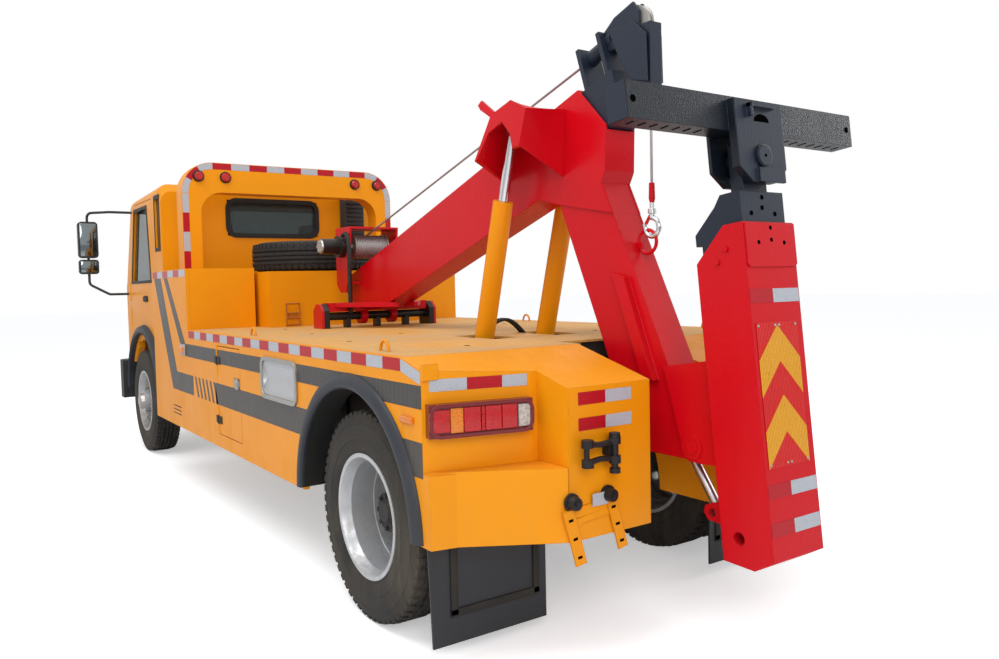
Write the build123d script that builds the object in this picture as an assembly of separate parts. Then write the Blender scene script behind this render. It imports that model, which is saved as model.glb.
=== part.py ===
# Medium two-axle tow truck with an integrated folding boom, in millimetres.
# Places are measured from the ground under the rear axle: X forward, Y to the left, Z up.
# The finished model is shifted so that its origin lies on the ground under the middle of its box.
from build123d import *
import math
import os

os.makedirs("parts", exist_ok=True)

# Wheels and axles
WHEELBASE = 4770
TYRE_R = 470
TYRE_W = 235
TYRE_SHOULDER = 26
RIM_R = 272
RIM_WALL = 9
RIM_W = 200
DISC_T = 14
HUB_R = 95
HUB_BORE_R = 40
HAND_HOLE_R = 26
HAND_HOLE_RING_R = 188
HAND_HOLES = 8
TREAD_BEVEL = 14
SHOULDER_DROP = 70
BEAD_DISH = 62
TYRE_FACETS = 40
FRONT_TYRE_Y = 900
REAR_OUTER_TYRE_Y = 990
DUAL_SPACING = 275
KINGPIN_Y = 790
KINGPIN_R = 20
YOKE_R = 42
YOKE_T = 30
SPINDLE_R = 39.95
RUN_GAP = 0.3
RUN_FIT = 0.05

# Chassis frame
RAIL_Y = 395
RAIL_W = 75
RAIL_H = 220
RAIL_WALL = 9
RAIL_Z = 640
RAIL_FRONT_X = 5480
CROSS_T = 60
GEARBOX_X = 3350
BANJO_R = 190
BANJO_HALF = 105
BANJO_BEVEL = 45
BANJO_NOSE_X = 190
BANJO_NOSE_R = 95

# Deck body
BODY_Y = 1126
DECK_Z = 1200
DECK_T = 12
DECK_FRONT_X = 3750
DECK_BREAK_X = -420
RAIL_BACK_X = DECK_BREAK_X
SKIRT_Z = 470
SKIRT_T = 26
SKIRT_FRONT_X = 3750
SKIRT_REAR_X = 780
RAIL_TOP_Z = 1635
BOX_REAR_X = 2728
BOX_INNER_Y = 629
BOX_T = 20
MIDDLE_BOX_X = 2490
MIDDLE_BOX_Z = 1605
MIDDLE_BOX_Y = 600
LEG_BAY_Y = 200
LEG_BAY_X = -250
ARCH_X = 60
ARCH_R = 560
ARCH_Z = 480

# Door hinges: knuckles of the door stand between knuckles of the body
HINGE_PIN_R = 6
HINGE_KNUCKLE = 60
HINGE_ROOM = 1.5
TOOL_HINGE_Z = (620, 1000)
CAB_HINGE_Z = (1200, 1450)

# Toolbox doors in the skirts
TOOL_DOOR_X0 = 1585
TOOL_DOOR_X1 = 2030
TOOL_DOOR_Z0 = 560
TOOL_DOOR_Z1 = 1120
DOOR_GAP = 5

# Tail
TAIL_CORNER_X = -572
TAIL_LAMP_IN_X = -667
TAIL_LAMP_IN_Y = 676
TAIL_TOP_Z = 1157
TAIL_BOX_X = -860
TAIL_BOX_Y0 = 215
TAIL_BOX_Y1 = 650
TAIL_BOX_TOP_Z = 1084
TAIL_BOTTOM_Z = 479
TAIL_LEDGE_Z = 762
TAIL_LEDGE_OUT = 45
TAIL_T = 20

# Light arch behind the cab
ARCH_FRAME_X = 3503
ARCH_FRAME_D = 160
ARCH_OUT_Y = 930
ARCH_IN_Y = 780
ARCH_TOP_Z = 2510
ARCH_OPEN_Z = 2270
ARCH_CHAMFER = 250
ARCH_LAMP_R = 38
ARCH_MARKER_R = 18

# Cab
CAB_Y = 980
CAB_BACK_X = 4000
CAB_WALL = 46
CAB_FLOOR_Z = 1010
CAB_ROOF_Z = 2390
CAB_ROOF_FRONT_X = 5150
CAB_ROOF_FRONT_Z = 2352
SCREEN_X = 5490
SCREEN_Z = 1560
NOSE_X = 5620
NOSE_Z = 900
ROOF_ROUND = 85
FRONT_ARCH_R = 570
BUMPER_X = 5800
BUMPER_Z0 = 420
BUMPER_Z1 = 800
SIDE_DOOR_BACK_X = 4340
SIDE_DOOR_FRONT_X = 5330
SIDE_DOOR_Z0 = 1075
SIDE_DOOR_Z1 = 2285
GLASS_T = 6
GLASS_Z0 = 1655
GLASS_Z1 = 2285
GLASS_Y = 870
MIRROR_Y = 1320
MIRROR_X = 5500
MIRROR_W = 174
MIRROR_H = 350
MIRROR_T = 70
MIRROR_ARM_R = 12

# Main boom and its fixed rear leg, as seen from the side
BOOM_PIVOT = (2000, 1280)
BOOM_HALF_W = 90
BOOM_WALL = 10
BOOM_SLOPE_DEG = 17.8
BOOM_TOP_END = (-302, 2373)
BOOM_DEEP = 363
BOOM_FOOT_X = 2240
BOOM_FOOT_Z = 1395
KNEE = (-147, 1855)
LEG_HALF_W = 80
LEG_WALL = 12
FOOT_BEAM_Y = 384
BASE_CHEEK_T = 56
SHAFT_R = 28

# Sliding inner boom and its head
INNER_HALF_W = 75
INNER_DEEP = 235
INNER_OUT = 215
INNER_IN = 900
INNER_GAP = 5
INNER_WALL = 10
HEAD_PLATE_T = 22
HEAD_TUBE_R = 38
HEAD_TUBE_RISE = 160
HEAD_FRONT = 20
HEAD_BACK = 165
ROPE_BORE_R = 12
SHEAVE_R = 88
SHEAVE_W = 34
SHEAVE_DROP = 20
SHEAVE_OUT = 165
CHEEK_T = 12
GUARD_HALF_W = 34
TONGUE_BOSS_R = 52

# Lift cylinders
LIFT_Y = 205
LIFT_FOOT = (400, 1000)
LIFT_EYE = (55, 2235)
LIFT_BARREL_R = 52
LIFT_ROD_R = 25
LIFT_BARREL_L = 930
LIFT_EYE_R = 30

# Folding arm, its second stage and the crossbar
ARM_TILT_DEG = 6.03
ARM_HALF_W = 150
ARM_DEEP = 232
ARM_WALL = 12
ARM_REAR_X = -1407
ARM_REAR_Z = 440
ARM_LENGTH = 1257
ARM_PIVOT = (-986, 800)
FORK_T = 20
STAGE_HALF_W = 128
STAGE_OUT = 120
STAGE_IN = 900
CROSSBAR_HALF_L = 658
CROSSBAR_H = 133
CROSSBAR_D = 95
CROSSBAR_WALL = 10
SWIVEL_OUT = 251.3
SWIVEL_R = 45
CLEVIS_HALF_W = 140
CLEVIS_T = 32
FOLD_TOP = (-460, 1350)
FOLD_EYE = (-1038, 530)
FOLD_BARREL_R = 40
FOLD_BARREL_L = 560
FOLD_ROD_R = 20
FOLD_STROKE = 380
FOLD_BORE_TOP = 85

# Winch on the boom foot
WINCH_X = 2120
WINCH_Z = 1765
WINCH_HALF_W = 190
WINCH_TOP_Z = 1900
DRUM_R = 52
DRUM_HALF_L = 130
DRUM_FLANGE_R = 92
WINCH_MOTOR_R = 55
WINCH_MOTOR_L = 165

# Spare wheel on the middle box
SPARE_X = 2975
SPARE_Y = 60

REAR_TRACK_Y = REAR_OUTER_TYRE_Y - DUAL_SPACING / 2
MID_X = (BUMPER_X + ARM_REAR_X) / 2


# Shape helpers
def block(x0, x1, y0, y1, z0, z1):
    """A box between two corners."""
    middle = Location(((x0 + x1) / 2, (y0 + y1) / 2, (z0 + z1) / 2))
    return middle * Box(abs(x1 - x0), abs(y1 - y0), abs(z1 - z0))


def side_plate(outline, y0, y1):
    """An outline of (x, z) points, as thick as from y0 to y1."""
    face = make_face(Polyline(*[(x, y0, z) for x, z in outline], close=True))
    return extrude(face, amount=y1 - y0, dir=(0, 1, 0))


def end_plate(outline, x0, x1):
    """An outline of (y, z) points, as thick as from x0 to x1."""
    face = make_face(Polyline(*[(x0, y, z) for y, z in outline], close=True))
    return extrude(face, amount=x1 - x0, dir=(1, 0, 0))


def plan_plate(outline, z0, z1):
    """An outline of (x, y) points, as thick as from z0 to z1."""
    face = make_face(Polyline(*[(x, y, z0) for x, y in outline], close=True))
    return extrude(face, amount=z1 - z0, dir=(0, 0, 1))


def rod(start, end, radius):
    """A round bar between two points."""
    start, end = Vector(*start), Vector(*end)
    plane = Plane(origin=start, z_dir=end - start)
    return extrude(plane * Circle(radius), amount=(end - start).length)


def bar_y(x, z, radius, y0, y1):
    """A round bar along Y."""
    return rod((x, y0, z), (x, y1, z), radius)


def mirrored(shape):
    """The same shape on the other side of the truck."""
    return mirror(shape, about=Plane.XZ)


def both_sides(shape):
    """A left piece and its mirror image, as separate solids."""
    return [shape, mirrored(shape)]


def turned(point, centre, degrees):
    """An (x, z) point turned in side view, positive from the rear upwards."""
    angle = math.radians(degrees)
    dx, dz = point[0] - centre[0], point[1] - centre[1]
    return (centre[0] + dx * math.cos(angle) + dz * math.sin(angle),
            centre[1] - dx * math.sin(angle) + dz * math.cos(angle))


def solids_of(shapes):
    """All solids of a shape or a list of shapes."""
    if not isinstance(shapes, (list, tuple)):
        shapes = [shapes]
    return [solid for shape in shapes for solid in shape.solids()]


def save(name, shapes):
    """Write one node, shifted to the model's origin."""
    solids = [solid.moved(Location((-MID_X, 0, 0))) for solid in solids_of(shapes)]
    export_step(solids[0] if len(solids) == 1 else Compound(children=solids), f"parts/{name}.step")


def knuckle_bar(x, y, z, radius, grow=0):
    """One hinge knuckle, upright, from a height upwards."""
    return rod((x, y, z - grow), (x, y, z + HINGE_KNUCKLE + grow), radius)


def hinge_half(panel, x, y, heights, on_door):
    """A door's or a body's half of its hinges: its own knuckles, and room for the other half's."""
    for z in heights:
        middle = [z]
        ends = [z - HINGE_KNUCKLE - RUN_GAP, z + HINGE_KNUCKLE + RUN_GAP]
        own, other = (middle, ends) if on_door else (ends, middle)
        for foot in other:
            panel -= knuckle_bar(x, y, foot, HINGE_PIN_R + HINGE_ROOM, RUN_GAP)
        for foot in own:
            panel += knuckle_bar(x, y, foot, HINGE_PIN_R)
    return panel


# Wheels
def ring_facets(stations):
    """A solid of flat facets round Y, through stations of (radius at the flats, y)."""
    turn = 180 / TYRE_FACETS
    loops = []
    for radius, y in stations:
        plane = Plane(origin=(0, y, 0), x_dir=(1, 0, 0), z_dir=(0, 1, 0))
        loops.append(plane * RegularPolygon(radius, TYRE_FACETS, major_radius=False, rotation=turn))
    return loft(loops, ruled=True)


def tyre(y_middle):
    """A tyre: crown, shoulders and sidewalls, dished to the bead on both sides, standing on a flat."""
    half = TYRE_W / 2
    bead = RIM_W / 2 - 2
    crown = half - TYRE_SHOULDER - TREAD_BEVEL
    outside = [(TYRE_R - SHOULDER_DROP, half), (TYRE_R - 8, half - TYRE_SHOULDER), (TYRE_R, crown)]
    shape = ring_facets([(radius, -y) for radius, y in outside] + outside[::-1])
    shape -= ring_facets([(RIM_R, -half - 1), (RIM_R, half + 1)])
    for side in (1, -1):
        shape -= ring_facets([(RIM_R, side * bead), (RIM_R + BEAD_DISH, side * half),
                              (RIM_R + BEAD_DISH, side * (half + 1))])
    return Location((0, y_middle, 0)) * shape


def rim(y_middle, disc_y, hub_y0, hub_y1, bore_y1):
    """A steel rim: flanged barrel, dished disc with hand holes, and a hub."""
    half = RIM_W / 2
    lip = RIM_R + 6
    wall = RIM_R - RIM_WALL
    edge, flange = half + 0.5, half + 8
    section = [(RIM_R - 0.05, -edge), (RIM_R - 0.05, edge), (lip, edge), (lip, flange), (wall - 4, flange),
               (wall - 22, half - 40), (wall - 22, -half + 40), (wall - 4, -flange), (lip, -flange),
               (lip, -edge)]
    barrel = revolve(make_face(Polyline(*[(r, y, 0) for r, y in section], close=True)), axis=Axis.Y)
    barrel = Location((0, y_middle, 0)) * barrel
    disc = bar_y(0, 0, wall - 14, disc_y - DISC_T / 2, disc_y + DISC_T / 2)
    near = y_middle - half + 45 if disc_y < y_middle else y_middle + half - 45
    dish_y0, dish_y1 = sorted((near, disc_y))
    disc += bar_y(0, 0, wall - 14, dish_y0, dish_y1) - bar_y(0, 0, wall - 27, dish_y0 - 1, dish_y1 + 1)
    for step in range(HAND_HOLES):
        angle = 2 * math.pi * step / HAND_HOLES
        hole_x, hole_z = HAND_HOLE_RING_R * math.cos(angle), HAND_HOLE_RING_R * math.sin(angle)
        disc -= bar_y(hole_x, hole_z, HAND_HOLE_R, disc_y - DISC_T, disc_y + DISC_T)
    hub = bar_y(0, 0, HUB_R, hub_y0, hub_y1)
    return barrel + disc + hub - bar_y(0, 0, HUB_BORE_R, hub_y0 - 1, bore_y1)


def wheels():
    """Front wheels, rear twin pairs and the spare."""
    axle = {"front": Location((WHEELBASE, 0, TYRE_R)), "rear": Location((0, 0, TYRE_R))}
    front_tyre = axle["front"] * tyre(FRONT_TYRE_Y)
    front_rim = axle["front"] * rim(FRONT_TYRE_Y, FRONT_TYRE_Y + 35, KINGPIN_Y + 62, FRONT_TYRE_Y + 120,
                                    FRONT_TYRE_Y + 95)
    inner_y = REAR_OUTER_TYRE_Y - DUAL_SPACING
    rear_tyres = [axle["rear"] * tyre(y) for y in (REAR_OUTER_TYRE_Y, inner_y)]
    outer_disc_y = REAR_TRACK_Y + DISC_T / 2
    inner_disc_y = REAR_TRACK_Y - DISC_T / 2
    outer = rim(REAR_OUTER_TYRE_Y, outer_disc_y, inner_disc_y, outer_disc_y + 60, outer_disc_y + 35)
    inner = rim(inner_y, inner_disc_y, inner_disc_y - 40, inner_disc_y, inner_disc_y + DISC_T)
    rear_rim = axle["rear"] * (outer + inner)
    for side, flip in (("left", False), ("right", True)):
        pieces = {"front_tyre": front_tyre, "front_rim": front_rim, "rear_tyres": rear_tyres,
                  "rear_rims": rear_rim}
        for name, shape in pieces.items():
            shapes = shape if isinstance(shape, list) else [shape]
            save(f"{name}_{side}", [mirrored(s) for s in shapes] if flip else shapes)
    lay_flat = Location((SPARE_X, SPARE_Y, MIDDLE_BOX_Z + TYRE_W / 2)) * Rotation(90, 0, 0)
    save("spare_tyre", lay_flat * tyre(0))
    save("spare_rim", lay_flat * rim(0, 30, 0, 40, 41))


# Chassis, axles and driveline
def chassis():
    """Ladder frame with channel rails, cross members and the boom's subframe."""
    top = RAIL_Z + RAIL_H
    rail = block(RAIL_BACK_X, RAIL_FRONT_X, RAIL_Y - RAIL_W / 2, RAIL_Y + RAIL_W / 2, RAIL_Z, top)
    rail -= block(RAIL_BACK_X - 1, RAIL_FRONT_X + 1, RAIL_Y - RAIL_W / 2 - 1,
                  RAIL_Y + RAIL_W / 2 - RAIL_WALL,
                  RAIL_Z + RAIL_WALL, top - RAIL_WALL)
    beam_top = DECK_Z - DECK_T
    beam = block(RAIL_BACK_X, 3400, RAIL_Y - RAIL_W / 2, RAIL_Y + RAIL_W / 2, top, beam_top - 80)
    cross_y = RAIL_Y + RAIL_W / 2 - RAIL_WALL
    frame = rail + beam + mirrored(rail + beam)
    for x in (RAIL_BACK_X + 30, 700, 1500, 2300, 3100, 3900, RAIL_FRONT_X - 40):
        frame += block(x - CROSS_T / 2, x + CROSS_T / 2, -cross_y, cross_y, RAIL_Z + 80, top - 40)
    for x in (LEG_BAY_X + 60, 130, 720, 1250, 2200, 2750, 3340):
        frame += block(x - 25, x + 25, -BODY_Y + SKIRT_T, BODY_Y - SKIRT_T, beam_top - 80, beam_top)
    for x in (4090, 5000):
        for y in (RAIL_Y, -RAIL_Y):
            frame += block(x - 50, x + 50, y - RAIL_W / 2, y + RAIL_W / 2, top, CAB_FLOOR_Z)
    lug_x, lug_z = LIFT_FOOT
    for y in (LIFT_Y - 62, LIFT_Y + 42):
        for side in (1, -1):
            lug = side_plate([(lug_x - 60, lug_z + 45), (lug_x + 60, lug_z + 45), (lug_x + 90, top),
                              (lug_x - 90, top)],
                             side * y, side * (y + 20))
            frame += lug
    frame += block(lug_x - 90, lug_x + 90, -RAIL_Y, RAIL_Y, top - 30, top)
    frame += bar_y(lug_x, lug_z, SHAFT_R - 4, -LIFT_Y - 62, LIFT_Y + 62)
    return frame


def running_gear():
    """Axles, springs, engine, driveline and tanks."""
    beam_y = KINGPIN_Y - 45
    beam = block(WHEELBASE - 45, WHEELBASE + 45, -beam_y, beam_y, TYRE_R - 90, TYRE_R - 10)
    beam -= block(WHEELBASE - 46, WHEELBASE - 12, -beam_y + 90, beam_y - 90, TYRE_R - 72, TYRE_R - 28)
    beam -= block(WHEELBASE + 12, WHEELBASE + 46, -beam_y + 90, beam_y - 90, TYRE_R - 72, TYRE_R - 28)
    eye = Location((WHEELBASE, KINGPIN_Y, TYRE_R - 20)) * Cylinder(46, 110)
    bore = Location((WHEELBASE, KINGPIN_Y, TYRE_R - 20)) * Cylinder(KINGPIN_R + RUN_FIT, 140)
    beam += eye + mirrored(eye)
    save("front_axle", beam - bore - mirrored(bore))

    housing = bar_y(0, TYRE_R, 62, -REAR_TRACK_Y + 70, REAR_TRACK_Y - 70)
    spindle = bar_y(0, TYRE_R, SPINDLE_R, -REAR_TRACK_Y - 20, REAR_TRACK_Y + 20)
    banjo = rod((-BANJO_HALF, 0, TYRE_R), (BANJO_HALF, 0, TYRE_R), BANJO_R)
    banjo = chamfer(banjo.edges().filter_by(GeomType.CIRCLE), BANJO_BEVEL)
    nose = rod((0, 0, TYRE_R), (BANJO_NOSE_X, 0, TYRE_R), BANJO_NOSE_R)
    housing = housing + spindle + banjo + nose
    for y in (RAIL_Y + 90, -RAIL_Y - 90):
        housing += block(-60, 60, y - 35, y + 35, TYRE_R, TYRE_R + 62)
    shaft = rod((BANJO_NOSE_X - 10, 0, TYRE_R + 20), (GEARBOX_X + 10, 0, RAIL_Z + 25), 42)
    gearbox = block(GEARBOX_X, 4150, -150, 150, RAIL_Z - 20, RAIL_Z + RAIL_H + 40)
    save("rear_axle", housing)
    save("prop_shaft", shaft - gearbox - block(0, BANJO_NOSE_X, -BANJO_R, BANJO_R, 0, TYRE_R + BANJO_R))

    spring_rows = [
        # middle x, half length, seat height, leaf count, y
        (WHEELBASE, 640, TYRE_R - 10, 5, RAIL_Y),
        (0, 700, TYRE_R + 62, 7, RAIL_Y + 90),
    ]
    springs = []
    for x, half, seat, leaves, y in spring_rows:
        leaf_t = 12
        stack = block(x - half, x + half, y - 35, y + 35, seat + (leaves - 1) * leaf_t,
                      seat + leaves * leaf_t)
        for leaf in range(leaves - 1):
            reach = half * (leaf + 1.6) / leaves
            stack += block(x - reach, x + reach, y - 35, y + 35, seat + leaf * leaf_t,
                           seat + (leaf + 1) * leaf_t)
        for end in (x - half + 25, x + half - 25):
            inner_y, hanger_top = (y - 35, RAIL_Z) if y == RAIL_Y else (RAIL_Y + RAIL_W / 2, RAIL_Z + 100)
            stack += block(end - 25, end + 25, inner_y, y + 35, seat + leaves * leaf_t, hanger_top)
        springs += both_sides(stack)
    save("leaf_springs", springs)

    engine = block(4150, 5250, -300, 300, RAIL_Z - 60, CAB_FLOOR_Z + 120)
    gearbox -= block(3900 - CROSS_T / 2, 3900 + CROSS_T / 2, -RAIL_Y, RAIL_Y, RAIL_Z + 80,
                     RAIL_Z + RAIL_H - 40)
    save("engine_block", engine + gearbox)

    tank = block(2850, 3650, -980, -RAIL_Y - RAIL_W / 2, 560, 960)
    tank = fillet(tank.edges().filter_by(Axis.X), 70)
    save("fuel_tank", tank)


def steering_knuckle():
    """A knuckle: yoke above and below the axle eye, kingpin and wheel spindle."""
    x, z = WHEELBASE, TYRE_R
    top, bottom = z + 36, z - 76
    yoke = block(x - YOKE_R, x + YOKE_R, KINGPIN_Y + 47, KINGPIN_Y + 60, bottom - YOKE_T, top + YOKE_T)
    for z0, z1 in ((top + RUN_GAP, top + YOKE_T), (bottom - YOKE_T, bottom - RUN_GAP)):
        yoke += block(x - YOKE_R, x + YOKE_R, KINGPIN_Y, KINGPIN_Y + 56, z0, z1)
        yoke += rod((x, KINGPIN_Y, z0), (x, KINGPIN_Y, z1), YOKE_R)
    pin = Location((x, KINGPIN_Y, z - 20)) * Cylinder(KINGPIN_R, 172)
    spindle = bar_y(x, z, SPINDLE_R, KINGPIN_Y + 55, FRONT_TYRE_Y + 90)
    return yoke + pin + spindle


# Deck body
def deck():
    """Chequer-plate deck with its side rails, slots for the lift cylinders and a bay for the leg."""
    edge = BODY_Y - SKIRT_T
    plate = block(DECK_BREAK_X, DECK_FRONT_X - BOX_T, -edge, edge, DECK_Z - DECK_T, DECK_Z)
    plate -= block(DECK_BREAK_X - 1, LEG_BAY_X, -LEG_BAY_Y, LEG_BAY_Y, DECK_Z - 99, DECK_Z + 1)
    slot = block(LIFT_FOOT[0] - 250, LIFT_FOOT[0] + 130, LIFT_Y - 80, LIFT_Y + 80, DECK_Z - 99, DECK_Z + 1)
    return plate - slot - mirrored(slot)


def skirt():
    """Left side panel: louvred front panel, toolbox opening and the wheel arch."""
    top = DECK_Z
    outline = [(SKIRT_FRONT_X, SKIRT_Z), (SKIRT_FRONT_X, RAIL_TOP_Z), (BOX_REAR_X, RAIL_TOP_Z),
               (BOX_REAR_X, top),
               (DECK_BREAK_X, top), (DECK_BREAK_X, TAIL_BOTTOM_Z), (SKIRT_REAR_X, SKIRT_Z)]
    panel = side_plate(outline, BODY_Y - SKIRT_T, BODY_Y)
    arch = bar_y(ARCH_X, ARCH_Z, ARCH_R, BODY_Y - SKIRT_T - 1, BODY_Y + 1)
    arch += block(ARCH_X - ARCH_R, ARCH_X + ARCH_R, BODY_Y - SKIRT_T - 1, BODY_Y + 1, 300, ARCH_Z)
    door = block(TOOL_DOOR_X0 - DOOR_GAP, TOOL_DOOR_X1 + DOOR_GAP, BODY_Y - SKIRT_T - 1, BODY_Y + 1,
                 TOOL_DOOR_Z0 - DOOR_GAP, TOOL_DOOR_Z1 + DOOR_GAP)
    return hinge_half(panel - arch - door, TOOL_DOOR_X1 + DOOR_GAP, BODY_Y, TOOL_HINGE_Z, False)


def toolbox():
    """Left toolbox behind its door: an open-fronted sheet box under the deck."""
    x0, x1 = TOOL_DOOR_X0 - 60, TOOL_DOOR_X1 + 60
    z0, z1 = TOOL_DOOR_Z0 - 40, TOOL_DOOR_Z1 + DOOR_GAP + 4
    y0, y1 = RAIL_Y + RAIL_W / 2 + 40, BODY_Y - SKIRT_T
    outer = block(x0, x1, y0, y1, z0, z1)
    return outer - block(x0 + 4, x1 - 4, y0 + 4, y1 + 1, z0 + 4, z1 - 4)


def toolbox_door():
    """Left toolbox door with its recessed paddle latch plate."""
    door = block(TOOL_DOOR_X0, TOOL_DOOR_X1, BODY_Y - SKIRT_T, BODY_Y, TOOL_DOOR_Z0, TOOL_DOOR_Z1)
    latch_x = TOOL_DOOR_X0 + 65
    latch_z = (TOOL_DOOR_Z0 + TOOL_DOOR_Z1) / 2 + 70
    door -= block(latch_x - 55, latch_x + 55, BODY_Y - 8, BODY_Y + 1, latch_z - 35, latch_z + 35)
    return hinge_half(door, TOOL_DOOR_X1 + DOOR_GAP, BODY_Y, TOOL_HINGE_Z, True)


def front_boxes():
    """Storage boxes behind the cab: one each side and a lower one between them."""

    def hollow(x0, x1, y0, y1, z1, wall):
        shell = block(x0, x1, y0, y1, DECK_Z, z1)
        return shell - block(x0 + wall, x1 - wall, y0 + wall, y1 - wall, DECK_Z - 1, z1 - wall)

    left = hollow(BOX_REAR_X, SKIRT_FRONT_X, BOX_INNER_Y, BODY_Y - SKIRT_T, RAIL_TOP_Z, BOX_T)
    middle = hollow(MIDDLE_BOX_X, SKIRT_FRONT_X, -MIDDLE_BOX_Y, MIDDLE_BOX_Y, MIDDLE_BOX_Z, BOX_T)
    return both_sides(left) + [middle]


def light_arch():
    """Welded arch frame with chamfered corners across the body behind the cab."""
    x0, x1 = ARCH_FRAME_X, ARCH_FRAME_X + ARCH_FRAME_D

    def portal(half, top, cut):
        return [(-half, RAIL_TOP_Z), (-half, top - cut), (-half + cut, top), (half - cut, top),
                (half, top - cut), (half, RAIL_TOP_Z)]

    frame = end_plate(portal(ARCH_OUT_Y, ARCH_TOP_Z, ARCH_CHAMFER), x0, x1)
    opening = end_plate(portal(ARCH_IN_Y, ARCH_OPEN_Z, ARCH_CHAMFER * 0.6), x0 - 1, x1 + 1)
    return frame - opening


def tail():
    """Tail: sloped top, lamp panels, stepped bumper and two boxes beside the leg's bay, of sheet."""
    def quarter(inset, top_drop, bottom_rise):
        lamp_line = [(TAIL_CORNER_X + inset, BODY_Y - inset),
                     (TAIL_LAMP_IN_X + inset, TAIL_LAMP_IN_Y + inset / 4),
                     (TAIL_LAMP_IN_X + inset, TAIL_BOX_Y1 - inset),
                     (TAIL_BOX_X + inset, TAIL_BOX_Y1 - inset),
                     (TAIL_BOX_X + inset, TAIL_BOX_Y0 + inset), (DECK_BREAK_X - inset, TAIL_BOX_Y0 + inset),
                     (DECK_BREAK_X - inset, BODY_Y - inset)]
        body = plan_plate(lamp_line, TAIL_BOTTOM_Z + bottom_rise, DECK_Z)
        slope = (TAIL_TOP_Z - DECK_Z) / (TAIL_CORNER_X - DECK_BREAK_X)
        low = DECK_Z + slope * (-1000 - DECK_BREAK_X)
        cut = side_plate([(DECK_BREAK_X + 1, DECK_Z - top_drop), (-1000, low - top_drop),
                          (-1000, DECK_Z + 50),
                          (DECK_BREAK_X + 1, DECK_Z + 50)], 0, BODY_Y + 10)
        return body - cut
    shell = quarter(0, 0, 0) - quarter(TAIL_T, TAIL_T, -TAIL_T)
    step = plan_plate([(TAIL_CORNER_X, BODY_Y), (TAIL_CORNER_X - TAIL_LEDGE_OUT, BODY_Y),
                       (TAIL_LAMP_IN_X - TAIL_LEDGE_OUT, TAIL_BOX_Y1), (TAIL_LAMP_IN_X, TAIL_BOX_Y1),
                       (TAIL_LAMP_IN_X, TAIL_LAMP_IN_Y)], TAIL_BOTTOM_Z, TAIL_LEDGE_Z)
    wheel_gap = bar_y(ARCH_X, ARCH_Z, ARCH_R, 0, BODY_Y + 10)
    return both_sides(shell + step - wheel_gap)


def lamps():
    """Tail lamps, the arch frame's round lamps and the small markers, all red."""
    run = math.degrees(math.atan2(TAIL_LAMP_IN_X - TAIL_CORNER_X, TAIL_LAMP_IN_Y - BODY_Y))
    mid_x, mid_y = (TAIL_CORNER_X + TAIL_LAMP_IN_X) / 2, (BODY_Y + TAIL_LAMP_IN_Y) / 2
    place = Location((mid_x, mid_y, 966), (0, 0, 90 - run - 180))
    tail_lamp = place * Location((0, 20, 0)) * Box(430, 40, 128)
    shapes = [tail_lamp]
    x = ARCH_FRAME_X
    for y, z, radius in ((794, 2395, ARCH_LAMP_R), (577, 2394, ARCH_MARKER_R)):
        shapes.append(rod((x, y, z), (x - 22, y, z), radius))
    headlamp = block(NOSE_X - 60, NOSE_X + 30, 640, 900, 880, 1020)
    shapes.append(headlamp - cab_solid())
    return [piece for shape in shapes for piece in both_sides(shape)]


def arch_flare():
    """Left moulded wheel-arch flare that stands out of the side panel."""
    ring = bar_y(ARCH_X, ARCH_Z, ARCH_R + 62, BODY_Y, BODY_Y + 32)
    ring -= bar_y(ARCH_X, ARCH_Z, ARCH_R - 8, BODY_Y - 1, BODY_Y + 33)
    return ring & block(ARCH_X - 800, ARCH_X + 800, BODY_Y - 1, BODY_Y + 40, TAIL_BOTTOM_Z + 5, 1400)


def mud_flap():
    """Left mud flap with its hanger bar, carried by the tail's side wall behind the rear wheels."""
    flap = end_plate([(520, 60), (1080, 60), (1095, TAIL_BOTTOM_Z), (520, TAIL_BOTTOM_Z)], -540, -530)
    return flap + block(-545, -525, 520, BODY_Y - TAIL_T, TAIL_BOTTOM_Z, TAIL_BOTTOM_Z + 25)


def tail_brackets():
    """Left shackle bracket, hook pins and forked hook plates on the tail box."""
    x = TAIL_BOX_X
    pieces = [block(x - 90, x, 400, 440, 735, 775) + block(x - 90, x, 400, 440, 845, 885)
              + rod((x - 60, 420, 700), (x - 60, 420, 915), 16)]
    for y in (590, 405):
        pin = rod((x, y, 620), (x - 75, y, 620), 15) + rod((x - 60, y, 620), (x - 80, y, 620), 28)
        pieces.append(pin)
    hook = end_plate([(385, 600), (610, 600), (600, 430), (565, 350), (545, 350), (540, 480), (450, 480),
                      (420, 350), (400, 350), (390, 430)], x - 12, x)
    for y in (590, 405):
        hook -= rod((x, y, 620), (x - 60, y, 620), 17)
    return pieces + [hook]


def boom_base():
    """Two base cheeks on the deck and the fixed shaft between them, with its bearing blocks."""
    x, z = BOOM_PIVOT
    outline = [(x - 75, DECK_Z), (x - 75, z + 40), (x - 30, z + 86), (x + 30, z + 86), (x + 75, z + 40),
               (x + 75, DECK_Z)]
    cheek = side_plate(outline, FOOT_BEAM_Y + 6, FOOT_BEAM_Y + 6 + BASE_CHEEK_T)
    shaft = bar_y(x, z, SHAFT_R, -FOOT_BEAM_Y - 6, FOOT_BEAM_Y + 6)
    base = cheek + mirrored(cheek) + shaft
    for y in (-230, 0, 230):
        base += block(x - 30, x + 30, y - 16, y + 16, DECK_Z, z - 15)
    return base


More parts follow.
